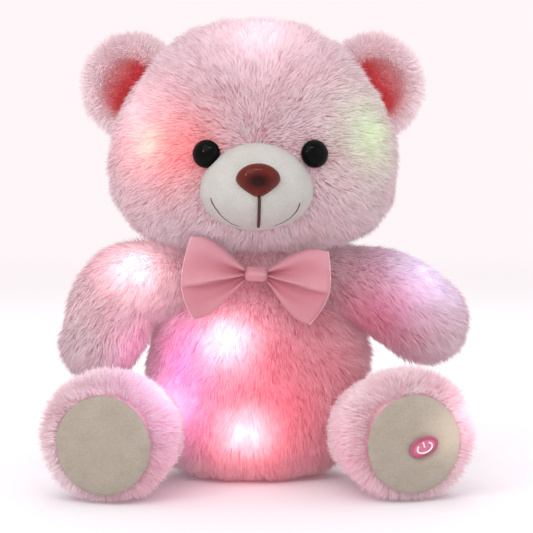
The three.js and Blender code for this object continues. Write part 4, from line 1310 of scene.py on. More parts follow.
@dataclass
class Head:
    """The head: its pile, ears, eyes, muzzle, nose and stitched mouth."""

    body: str = "head"
    bridge: Point = (0.0, -0.075, 0.196)
    eye_radius: float = 0.0076
    eye_wide: float = 0.0081
    eye_dome: float = 0.0056
    eye_stand: float = 0.0078
    eye_shift: float = 0.0022
    eye_bare: float = 0.0068
    eye_short: float = 0.014
    muzzle_groove: float = 0.0012
    nose_dome: float = 0.0084
    nose_slope: float = -0.12
    mouth_top: float = 0.1705
    mouth_drop: float = 0.0173
    mouth_thread: float = 0.00088
    smile_thread: float = 0.00036
    smile_left: tuple[tuple[float, float], ...] = (
        (0.0239, 0.1668),
        (0.0232, 0.1645),
        (0.0218, 0.1617),
        (0.0188, 0.1583),
        (0.0149, 0.1558),
        (0.0099, 0.1535),
    )
    smile_right: tuple[tuple[float, float], ...] = (
        (-0.0264, 0.1697),
        (-0.0256, 0.1672),
        (-0.0243, 0.1648),
        (-0.0204, 0.1594),
        (-0.0148, 0.1548),
        (-0.0100, 0.1533),
    )

    def eye_places(self) -> dict[Side, tuple[Vector, Vector]]:
        """The middle of each eye's seat and the way that it looks, from the solids.

        Returns:
            A place and a direction for each side.
        """
        made = {}
        for side in Side:
            low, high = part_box("eye_" + side.word)
            washer_low, washer_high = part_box("eye_washer_" + side.word)
            front = Vector(((low.x + high.x) / 2, low.y, (low.z + high.z) / 2))
            back = (washer_low + washer_high) / 2
            ahead = (low.y + self.eye_radius) - back.y
            look = Vector((front.x - back.x, ahead, front.z - back.z)).normalized()
            made[side] = (back + look * self.eye_stand + Vector((self.eye_shift, 0, 0)), look)
        return made

    def comb(self, roots: np.ndarray) -> np.ndarray:
        """Brushed out from the bridge of the nose in front, and down behind.

        Args:
            roots: where the strands stand.

        Returns:
            The way at each root.
        """
        away = roots - np.array(self.bridge)
        away[:, 1] *= 0.5
        front = np.clip((-roots[:, 1] - 0.005) / 0.03, 0, 1)[:, None]
        down = np.array([0.0, 0.15, -0.7])
        return unit(away) * (0.35 + 0.65 * front) + down * (1 - 0.65 * front)

    def trim(self, roots: np.ndarray, normals: np.ndarray) -> np.ndarray:
        """Shorter round the eyes and the muzzle, none under them or inside the neck.

        Args:
            roots: where the strands stand.
            normals: the skin's normals there; not used.

        Returns:
            A length share for each root.
        """
        kept = clear_share(roots, [TORSO], 0.004)
        to_muzzle = MUZZLE.inside(roots)
        kept *= np.clip((0.0015 - to_muzzle) / 0.006, 0, 1) * 0.5 + 0.5 * (to_muzzle < 0.0015)
        kept[to_muzzle > 0.002] = 0
        for place, _ in self.eye_places().values():
            away = np.linalg.norm((roots - np.array(place))[:, [0, 2]], axis=1)
            front = roots[:, 1] < -0.02
            kept = np.where(front & (away < self.eye_bare), 0, kept)
            near = front & (away < self.eye_short)
            kept = np.where(near, kept * np.clip((away - 0.004) / 0.010, 0.35, 1), kept)
        face = np.clip((-roots[:, 1] - 0.03) / 0.03, 0, 1)
        return kept * (1 - 0.22 * face)

    def dress(self) -> None:
        """Makes the whole head."""
        finish = PileFinish(
            "head_plush",
            PINK_TIP,
            PINK_ROOT,
            PINK_DEEP,
            (CROWN_GLOW, TEMPLE_RIGHT_GLOW, CHEEK_RIGHT_GLOW, TEMPLE_LEFT_GLOW),
            painted_flushes=(FACE_PAINTED_LAMP_LIGHT,),
        )
        plush = PlushPiece("head", self.body, finish, Pile(0.0088), 11, parts=4)
        skin = grid_piece("head_skin", HEAD.rings(plush.inset, 48, 72))
        plush.clothe(skin, self.comb, self.trim)
        for side in Side:
            Ear(side).dress()
        self.eyes()
        self.muzzle()
        self.nose()
        self.mouth()

    def eyes(self) -> None:
        """Makes the glossy domed eyes."""
        black, edge = linear(3, 3, 4), linear(8, 6, 7)
        finish = HardFinish("eye_gloss", Moulding.POLISHED, black, edge, 0.05, shine=0.09).material()
        for side, (place, look) in self.eye_places().items():
            profile = [(self.eye_wide * 0.4, -0.001), (self.eye_wide, -0.001), (self.eye_wide, 0.0004)]
            profile += [
                (self.eye_wide * math.cos(a), 0.0005 + self.eye_dome * math.sin(a))
                for a in np.linspace(0.08, math.pi / 2 - 0.06, 12)
            ]
            turn = full_turn(48)
            rings = np.array([[(r * math.cos(t), r * math.sin(t), z) for t in turn] for r, z in profile])
            seat = Matrix.Translation(place) @ look.to_track_quat("Z", "Y").to_matrix().to_4x4()
            made = grid_piece("eye_" + side.word + "_dome", moved(rings, seat))
            finish_piece(made, self.body, finish)
            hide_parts("eye_" + side.word)

    def muzzle_point(self, turn: np.ndarray, up: np.ndarray) -> np.ndarray:
        """Points on the muzzle.

        Args:
            turn: turn about the muzzle's upright line.
            up: height share from -1 to 1.

        Returns:
            The points.
        """
        half_wide, deep, half_high = MUZZLE.radii
        narrow = 1 - 0.1 * up
        wide = np.sqrt(np.maximum(0, 1 - up * up))
        reach = deep * np.maximum(0, 1 - up * up) ** 0.375 * np.sqrt(narrow)
        sine = np.sin(turn)
        x = half_wide * wide * np.cos(turn) * narrow
        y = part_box("muzzle")[0].y + deep + reach * np.sign(sine) * np.abs(sine) ** 0.75
        return np.stack([x, y, MUZZLE.middle[2] + half_high * up], -1)

    def muzzle(self) -> None:
        """Makes the smooth cream muzzle."""
        up = -np.cos(np.linspace(0.08, math.pi - 0.08, 30))[:, None]
        turn = full_turn(72)[None, :]
        rows = self.muzzle_point(np.broadcast_to(turn, (30, 72)), np.broadcast_to(up, (30, 72)))
        mouth = np.exp(-((rows[..., 0] / 0.0022) ** 2)) * (rows[..., 2] < 0.1735) * (rows[..., 1] < -0.06)
        rows[..., 1] += self.muzzle_groove * mouth
        made = grid_piece("muzzle_velour", rows)
        pale, shaded = linear(196, 198, 193), linear(177, 174, 166)
        cream = ClothFinish("muzzle_velour_finish", Cloth.VELOUR, pale, shaded, 0.0010, 0.12)
        finish_piece(rounded(made), self.body, cream.material())
        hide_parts("muzzle")

    def nose(self) -> None:
        """Makes the glossy nose: a rounded triangle that points down, domed in front."""
        low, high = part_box("nose")
        middle = Vector((0, low.y + 0.0085, (low.z + high.z) / 2 - 0.0014))
        half_wide, half_high = (high.x - low.x) / 2, (high.z - low.z) / 2
        turn = full_turn(64)
        across = np.cos(turn)
        upward = np.sin(turn)
        body = np.sign(across) * np.abs(across) ** np.where(upward < 0, 0.84, 0.92)
        rise = np.sign(upward) * np.abs(upward) ** 0.92
        taper = np.where(rise < 0, 1 - 0.52 * np.abs(rise) ** 1.25, 1 - 0.10 * np.abs(rise) ** 2)
        outline = np.stack([half_wide * body * taper, np.zeros(64), half_high * rise], 1)
        rings = []
        lean = np.linspace(0.0, math.pi / 2 - 0.1, 12)
        back = [(0.5, -0.1), (0.86, -0.1), (0.97, -0.05)]
        for share, out in back + list(zip(np.cos(lean) ** 0.8, np.sin(lean) ** 0.9)):
            ring = outline * share
            ring[:, 1] = -self.nose_dome * out
            ring[:, 2] += 0.0016 * out
            rings.append(ring)
        slope = Matrix.Rotation(self.nose_slope, 3, "X")
        rows = np.array(rings) @ np.array(slope).T + np.array(middle)
        made = grid_piece("nose_gloss", rows)
        # Painted shade and reflection: the nose is darkened in its middle and left lighter at its rim.
        brown = HardFinish(
            "nose_finish",
            Moulding.POLISHED,
            linear(96, 32, 24),
            linear(26, 3, 2),
            0.1,
            shine=0.16,
            painted_dark_middle=tuple(middle),
            painted_dark_middle_size=0.0075,
        )
        finish_piece(rounded(made), self.body, brown.material())
        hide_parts("nose")

    def on_muzzle(self, x: float, z: float, lift: float = 0.0) -> list[float]:
        """A point on the front of the muzzle at a place in the front view.

        Args:
            x: place across.
            z: its height.
            lift: how far it stands off the cloth.

        Returns:
            The point.
        """
        half_wide, _, half_high = MUZZLE.radii
        up = (z - MUZZLE.middle[2]) / half_high
        wide = half_wide * math.sqrt(1 - up * up) * (1 - 0.1 * up)
        turn = -math.acos(max(-1.0, min(1.0, x / wide)))
        place = self.muzzle_point(np.array(turn), np.array(up))
        return [float(place[0]), float(place[1]) - lift, float(place[2])]

    def mouth(self) -> None:
        """Stitches the mouth line and the smile on the muzzle."""
        drops = np.linspace(0, 1, 12)
        heights = self.mouth_top - self.mouth_drop * drops
        line = np.array([self.on_muzzle(0.0006, height, -0.0004) for height in heights])
        smiles = []
        for knots in (self.smile_left, self.smile_right):
            share = np.linspace(0, len(knots) - 1, 26)
            x, z = (np.interp(share, range(len(knots)), places) for places in zip(*knots))
            x[1:-1] = (x[:-2] + x[1:-1] + x[2:]) / 3
            z[1:-1] = (z[:-2] + z[1:-1] + z[2:]) / 3
            smiles.append(np.array([self.on_muzzle(*pair) for pair in zip(x, z)]))
        dark, wear_and_shade = linear(70, 34, 24), linear(44, 20, 14)
        brown = HardFinish("mouth_thread", Moulding.MATT, dark, wear_and_shade, 0.7).material()
        finish_piece(thread("mouth_line", [line], self.mouth_thread), self.body, brown)
        tapering = np.interp(np.linspace(0, 1, 26), [0, 0.15, 0.5, 1], [0.6, 1.0, 0.75, 0.3])
        stitches = thread("smile_threads", smiles, self.smile_thread, shares=tapering)
        finish_piece(stitches, self.body, brown)


# Torso


@dataclass
class Torso:
    """The torso: its pile, the pocket in its back, and the flap over it."""

    body: str = "torso"
    flap_half: float = 0.0305
    flap_low: float = 0.013
    flap_high: float = 0.102
    flap_faces: tuple[float, float] = (0.0006, 0.0021)
    lining_inset: float = 0.0032
    lining_thickness: float = 0.0004
    well_depths: tuple[float, float] = (0.040, 0.024)
    flank_fullness: float = 0.004

    def in_window(self, points: np.ndarray, margin: float = 0.0) -> np.ndarray:
        """Whether each point lies in the window of the pocket.

        Args:
            points: the points.
            margin: how far outside the window still counts.

        Returns:
            A truth value for each point.
        """
        wide = np.abs(points[..., 0]) < self.flap_half + margin
        high = (points[..., 2] > self.flap_low - margin) & (points[..., 2] < self.flap_high + margin)
        return wide & high & (points[..., 1] > 0)

    def flank(self, points: np.ndarray) -> np.ndarray:
        """How near each point lies to the fuller flank under the left arm, from 0 to 1."""
        side = np.clip((points[..., 0] - 0.030) / 0.022, 0, 1)
        return side * np.exp(-(((points[..., 2] - 0.078) / 0.026) ** 2)) * (points[..., 1] < 0.03)

    def comb(self, roots: np.ndarray) -> np.ndarray:
        """Brushed down and a little outwards, and standing up on the fuller flank."""
        out = np.c_[roots[:, 0], roots[:, 1] * 0.3, np.zeros(len(roots))] / 0.06
        return (out * 0.4 + np.array([0, 0, -0.9])) * (1 - 0.65 * self.flank(roots))[:, None]

    def trim(self, roots: np.ndarray, normals: np.ndarray) -> np.ndarray:
        """None deep in the head and limbs or in the pocket, short under the bow.

        Args:
            roots: where the strands stand.
            normals: the skin's normals there; not used.

        Returns:
            A length share for each root.
        """
        kept = clear_share(roots, [HEAD, *ARM.values(), *LEG.values()], 0.0075)
        kept[self.in_window(roots, 0.001)] = 0
        x, y, z = roots.T
        bow = (np.abs(x) < 0.046) & (z > 0.101) & (z < 0.148) & (y < -0.02)
        return kept * np.where(bow, 0.62, 1.0) * (1 + 0.25 * self.flank(roots))

    def dress(self) -> None:
        """Makes the whole torso."""
        glows = (CHEST_GLOW, BELLY_GLOW, SPILL_GLOW, BODY_GLOW, SIDE_GLOW)
        finish = PileFinish("torso_plush", PINK_TIP, PINK_ROOT, PINK_DEEP, glows, painted_flushes=(BODY_PAINTED_LIGHT_AND_SHADE,))
        plush = PlushPiece("torso", self.body, finish, Pile(0.0088), 12, parts=2)
        rows = TORSO.rings(plush.inset, 60, 96)
        rows[..., 2] = np.maximum(rows[..., 2], CLOTH_OFF_FLOOR)
        rows[..., 0] += self.flank_fullness * self.flank(rows)
        beside = np.roll(rows, -1, 1)
        middles = (rows[:-1] + beside[:-1] + rows[1:] + beside[1:]) / 4
        skin = grid_piece("torso_skin", rows, keep=~self.in_window(middles))
        plush.clothe(skin, self.comb, self.trim)
        self.lining()
        self.flap()

    def back_surface(self, x: np.ndarray, z: np.ndarray, inset: float) -> np.ndarray:
        """Points on the torso's back at places seen from behind.

        Args:
            x: places across.
            z: their heights.
            inset: how far inside the form's surface they lie.

        Returns:
            The points.
        """
        rise = np.clip((z - TORSO.base - inset) / (TORSO.height - 2 * inset), 0.001, 0.999)
        share = TORSO.share(np.arccos(1 - 2 * rise))
        across = np.clip(x / ((TORSO.width / 2 - inset) * share), -0.999, 0.999)
        y = (TORSO.depth / 2 - inset) * share * np.sqrt(1 - across**2)
        return np.stack([x, y, z], -1)

    def lining(self) -> None:
        """Makes the pocket's lining: a ledge under the flap and a well round the battery box."""
        box_low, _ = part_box("battery_box")
        _, box_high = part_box("battery_cover")
        room, seam = 0.0008, 0.0012
        rings = []
        sides = 24
        for outer_share in (1.0, 0.5, 0.0):
            half = (box_high.x + room) + (self.flap_half + 0.001 - box_high.x - room) * outer_share
            low = (box_low.z - room) + (self.flap_low - 0.001 - box_low.z + room) * outer_share
            high = (box_high.z + room) + (self.flap_high + 0.001 - box_high.z - room) * outer_share
            rings.append(self.rectangle(half, low, high, sides, self.lining_inset))
        window = (self.flap_half + seam, self.flap_low - seam, self.flap_high + seam)
        rings = [self.rectangle(*window, sides, 0.0062), self.rectangle(*window, sides, 0.0035), *rings]
        for depth in self.well_depths:
            inner = rings[-1].copy()
            inner[:, 1] = depth
            rings.append(inner)
        points = np.array(rings)
        count = points.shape[1]
        ring = np.arange(len(points) - 1)[:, None] * count
        side = np.arange(count)[None, :]
        after = (side + 1) % count
        quads = np.stack([ring + side, ring + after, ring + count + after, ring + count + side], -1)
        made = mesh_piece("pocket_lining", points.reshape(-1, 3), quads, np.empty((0, 3)))
        shell = made.modifiers.new("cloth", "SOLIDIFY")
        shell.thickness = self.lining_thickness
        light, dark = linear(236, 214, 218), linear(214, 184, 190)
        cloth = ClothFinish("lining_cloth", Cloth.LINING, light, dark, 0.0007, 0.2)
        finish_piece(made, self.body, cloth.material())

    def rectangle(self, half: float, low: float, high: float, sides: int, inset: float) -> np.ndarray:
        """A ring of points on the torso's back, round a rectangle seen from behind.

        Args:
            half: half the rectangle's width.
            low: its lower edge.
            high: its upper edge.
            sides: points along each edge.
            inset: how far inside the form's surface they lie.

        Returns:
            The ring.
        """
        share = np.linspace(0, 1, sides, endpoint=False)
        still = np.ones(sides)
        across, rise = 2 * half * share, (high - low) * share
        x = np.r_[-half + across, still * half, half - across, still * -half]
        z = np.r_[still * low, low + rise, still * high, high - rise]
        return self.back_surface(x, z, inset)

    def flap_mesh(self) -> bpy.types.Object:
        """The flap's cloth: an outer and an inner face that follow the back, joined round the rim.

        Returns:
            The piece.
        """
        rows, columns = 43, 31
        x = np.linspace(-self.flap_half, self.flap_half, columns)[None, :]
        z = np.linspace(self.flap_low, self.flap_high, rows)[:, None]
        x, z = np.broadcast_to(x, (rows, columns)), np.broadcast_to(z, (rows, columns))
        outer, inner = (self.back_surface(x, z, inset) for inset in self.flap_faces)
        count = rows * columns
        index = np.arange(count).reshape(rows, columns)
        corners = (index[:-1, :-1], index[:-1, 1:], index[1:, 1:], index[1:, :-1])
        quads = [np.stack(corners, -1).reshape(-1, 4)]
        quads.append(quads[0][:, ::-1] + count)
        rim = np.concatenate([index[0, :], index[1:, -1], index[-1, -2::-1], index[-2:0:-1, 0]])
        ahead = np.roll(rim, -1)
        quads.append(np.stack([rim, rim + count, ahead + count, ahead], 1))
        points = np.concatenate([outer.reshape(-1, 3), inner.reshape(-1, 3)])
        made = mesh_piece("pocket_flap_cloth", points, np.concatenate(quads), np.empty((0, 3)))
        face_out(made)
        return made

    def flap(self) -> None:
        """Makes the plush flap over the pocket."""
        made = self.flap_mesh()
        finish = PileFinish("flap_plush", PINK_TIP, PINK_ROOT, PINK_DEEP, (BODY_GLOW,))
        finish_piece(made, "pocket_flap", finish.backing())
        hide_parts("pocket_flap")
        pile = Pile(0.0052, density=2.6e6, lean=0.55, droop=0.3)
        for strands in pile.grow("pocket_flap_pile", made, 14, self.comb_flap, self.trim_flap):
            finish_piece(strands, "pocket_flap", finish.strands())

    def comb_flap(self, roots: np.ndarray) -> np.ndarray:
        """Brushed down."""
        return one_way(roots, (0, 0.1, -1))

    def trim_flap(self, roots: np.ndarray, normals: np.ndarray) -> np.ndarray:
        """On the outer face alone."""
        return (normals[:, 1] > 0.05) * 1.0


# Limbs


@dataclass
class Arm:
    """An arm, brushed along itself towards the tip."""

    side: Side
    glows: tuple[Glow, ...]
    painted_flushes: tuple[PaintedFlush, ...] = ()

    def comb(self, roots: np.ndarray) -> np.ndarray:
        """Brushed along the arm, a little down and forwards.

        Args:
            roots: where the strands stand.

        Returns:
            The way at each root.
        """
        spine = ARM[self.side].spine
        way = np.array(spine[-1]) - np.array(spine[0])
        return one_way(roots, (way[0], way[1] - 0.01, way[2] - 0.02))

    def trim(self, roots: np.ndarray, normals: np.ndarray) -> np.ndarray:
        """None deep in the torso or the head."""
        return clear_share(roots, [TORSO, HEAD], 0.006)

    def dress(self) -> None:
        """Makes the arm."""
        name = "arm_" + self.side.word
        finish = PileFinish(name + "_plush", PINK_TIP, PINK_ROOT, PINK_DEEP, self.glows, painted_flushes=self.painted_flushes)
        plush = PlushPiece(name, name, finish, Pile(0.0090), 20 + self.side.value)
        skin = grid_piece(name + "_skin", ARM[self.side].rings(plush.inset, 36, 44))
        plush.clothe(skin, self.comb, self.trim)


@dataclass
class Leg:
    """A leg, with its foot turned up to show the cream sole."""

    side: Side
    glow: Glow
    lamp_lift: float = 0.0
    pad_radius: float = 0.0278
    pad_edge: float = 0.0011
    pad_dome: float = 0.0034
    patch_dip: float = 0.0020
    patch_dip_half: tuple[float, float] = (0.0108, 0.0074)
    patch_middle: tuple[float, float] = (0.0048, -0.0014)
    patch_turn: float = 0.35
    patch_half: tuple[float, float] = (0.0085, 0.005)
    patch_profile: tuple[tuple[float, float], ...] = (
        (0.5, 0.0016),
        (0.97, 0.0016),
        (1.0, 0.0038),
        (0.97, 0.0043),
        (0.8, 0.0045),
        (0.5, 0.0046),
        (0.15, 0.0046),
    )
    stitches: int = 110
    edge_thread: float = 0.00022
    sign_thread: float = 0.00050

    def sole_matrix(self) -> Matrix:
        """The sole's own frame: X across, Y up, Z out.

        Returns:
            The frame.
        """
        look = Vector(SOLE_LOOK[self.side])
        across = Vector((0, 0, 1)).cross(look)
        turn = Matrix((across, Vector((0, 0, 1)), look)).transposed()
        return Matrix.Translation(sole_middle(self.side)) @ turn.to_4x4()

    def from_sole(self, roots: np.ndarray) -> tuple[np.ndarray, np.ndarray]:
        """Where roots lie along the sole's plane from its middle, and how far ahead of it.

        Args:
            roots: where the strands stand.

        Returns:
            A vector and a distance for each root.
        """
        look = np.array(SOLE_LOOK[self.side])
        local = roots - np.array(sole_middle(self.side))
        return local - (local @ look)[:, None] * look, local @ look

    def comb(self, roots: np.ndarray) -> np.ndarray:
        """Brushed back along the leg, and out and forwards round the sole.

        Args:
            roots: where the strands stand.

        Returns:
            The way at each root.
        """
        spine = LEG[self.side].spine
        way = unit(np.array(spine[-1]) - np.array(spine[0]))
        out, ahead = self.from_sole(roots)
        near = np.clip(1 + ahead / 0.02, 0, 1)[:, None]
        forward = unit(out) * 0.6 + np.array(SOLE_LOOK[self.side]) * 0.7
        return (unit(out) * 0.2 - way) * 0.8 * (1 - near) + forward * near

    def trim(self, roots: np.ndarray, normals: np.ndarray) -> np.ndarray:
        """None deep in the torso or under the sole, shorter round the sole.

        Args:
            roots: where the strands stand.
            normals: the skin's normals there; not used.

        Returns:
            A length share for each root.
        """
        out, ahead = self.from_sole(roots)
        away = np.linalg.norm(out, axis=1)
        front = ahead > -0.006
        kept = clear_share(roots, [TORSO], 0.006)
        kept[front & (away < self.pad_radius - 0.0015)] = 0
        return kept * np.where(front & (away < self.pad_radius + 0.006), 0.72, 1.0)

    def dress(self) -> None:
        """Makes the leg and its sole."""
        name = "leg_" + self.side.word
        # Painted light: a pinker tone painted low on the inner side of the foot, for the pink light of the
        # lamps nearby.
        painted_flush = PaintedFlush((self.side.value * 0.058, -0.084, 0.026), 0.024, linear(232, 150, 176), 0.45)
        finish = PileFinish(
            name + "_plush",
            linear(222, 209, 213),
            linear(212, 186, 193),
            linear(210, 146, 158),
            (self.glow,),
            # painted glow of the leg's own colour, to lift its shaded sides
            painted_fill_glow=0.16,
            painted_flushes=(painted_flush,),
        )
        plush = PlushPiece(name, name, finish, Pile(0.0088, swirl=0.2, pull=0.32), 24 + self.side.value)
        rows = self.over_lamp(LEG[self.side].rings(plush.inset, 52, 60))
        rows[..., 2] = np.maximum(rows[..., 2], CLOTH_OFF_FLOOR)
        plush.clothe(grid_piece(name + "_skin", rows), self.comb, self.trim)
        self.pad()
        if self.side is Side.LEFT:
            self.patch()

    def over_lamp(self, rows: np.ndarray) -> np.ndarray:
        """Lifts the cloth where the lamp lies close under it.

        Args:
            rows: the skin's rings.

        Returns:
            The lifted rings.
        """
        low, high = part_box("lamp_leg_" + self.side.word)
        away = np.linalg.norm(rows - np.array((low + high) / 2), axis=-1, keepdims=True)
        out = unit(rows - np.array(ANKLE[self.side]))
        return rows + out * self.lamp_lift * bell(away, 0.012)

    def pad(self) -> None:
        """Makes the cream sole, softly domed, with the edge turned in."""
        shares = np.r_[0.995, 0.985, np.linspace(0.965, 0.02, 34)]
        crown = [(share, self.pad_edge + self.pad_dome * (1 - share**4) ** 0.45) for share in shares]
        profile = [(0.5, 0.0004), (0.97, 0.0004), (1.0, 0.0009), *crown]
        turn = full_turn(96)
        rings = []
        for share, out in profile:
            radius = self.pad_radius * share
            edge = (share > 0.8) * (out > 0.001)
            wrinkle = (0.00022 * np.sin(turn * 26 + 0.6) + 0.00016 * np.sin(turn * 11)) * edge
            radius = radius * (1 + 0.006 * np.sin(turn * 5 + 1) + 0.004 * np.sin(turn * 13))
            rings.append(np.stack([radius * np.cos(turn), radius * np.sin(turn), out + wrinkle], 1))
        rows = np.array(rings)
        if self.side is Side.LEFT:
            cosine, sine = math.cos(self.patch_turn), math.sin(self.patch_turn)
            local = rows[..., :2] - np.array(self.patch_middle)
            turned = local @ np.array([[cosine, -sine], [sine, cosine]])
            away = np.linalg.norm(turned / np.array(self.patch_dip_half), axis=-1)
            rows[..., 2] -= self.patch_dip * np.exp(-(away**5)) * (rows[..., 2] > 0.001)
        made = grid_piece("foot_pad_" + self.side.word + "_velour", moved(rows, self.sole_matrix()))
        cream = ClothFinish(
            "sole_velour_" + self.side.word,
            Cloth.VELOUR,
            linear(174, 166, 152),
            linear(151, 142, 128),
            0.0011,
            0.1,
            rib=0.0017,
            glow=SOLE_GLOW[self.side],
        )
        finish_piece(rounded(made), "leg_" + self.side.word, cream.material())
        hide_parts("foot_pad_" + self.side.word)

    def patch(self) -> None:
        """Makes the embroidered patch that is pressed: its ground, its corded edge and its switch sign."""
        middle = Matrix.Translation((*self.patch_middle, 0.0))
        place = self.sole_matrix() @ middle @ Matrix.Rotation(self.patch_turn, 4, "Z")
        wide, high = self.patch_half
        turn = full_turn(72)
        rings = []
        for share, out in self.patch_profile:
            ring = [wide * share * np.cos(turn), high * share * np.sin(turn), np.full(72, out)]
            rings.append(np.stack(ring, 1))
        ground = grid_piece("power_patch_ground", moved(np.array(rings), place))
        rose = ClothFinish("patch_ground", Cloth.FELT, linear(212, 126, 152), linear(192, 104, 132), 0.0006)
        finish_piece(ground, "power_button", rose.material())
        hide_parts("power_patch")
        stitches = []
        for index in range(self.stitches):
            a = 2 * math.pi * index / self.stitches
            b = a + 0.035
            inner = (wide * 0.80 * math.cos(a), high * 0.76 * math.sin(a), 0.0045)
            crest = (wide * 0.93 * math.cos((a + b) / 2), high * 0.92 * math.sin((a + b) / 2), 0.0050)
            outer = (wide * 1.03 * math.cos(b), high * 1.04 * math.sin(b), 0.0041)
            stitches.append(moved(np.array([inner, crest, outer]), place))
        rim = HardFinish("edge_thread", Moulding.MATT, linear(192, 88, 124), linear(166, 70, 104), 0.45)
        edge = thread("power_patch_edge", stitches, self.edge_thread, sides=2)
        finish_piece(edge, "power_button", rim.material())
        arc = [
            (0.0046 * math.sin(a), -0.0003 + 0.0027 * math.cos(a), 0.0049)
            for a in np.linspace(0.75, 2 * math.pi - 0.75, 40)
        ]
        bar = [(0.0, t, 0.0050) for t in np.linspace(0.0, 0.0031, 6)]
        pale = HardFinish("sign_thread", Moulding.MATT, linear(248, 236, 242), linear(232, 208, 220), 0.45)
        lines = [moved(np.array(line), place) for line in (arc, bar)]
        sign = thread("power_patch_sign", lines, self.sign_thread)
        finish_piece(sign, "power_button", pale.material())


# Bow


@dataclass(frozen=True)
class Wing:
    """What sets one wing of the bow apart: its corners' cuts and the lift of its upper edge."""

    side: Side
    high_cut: float
    low_cut: float
    lift: float


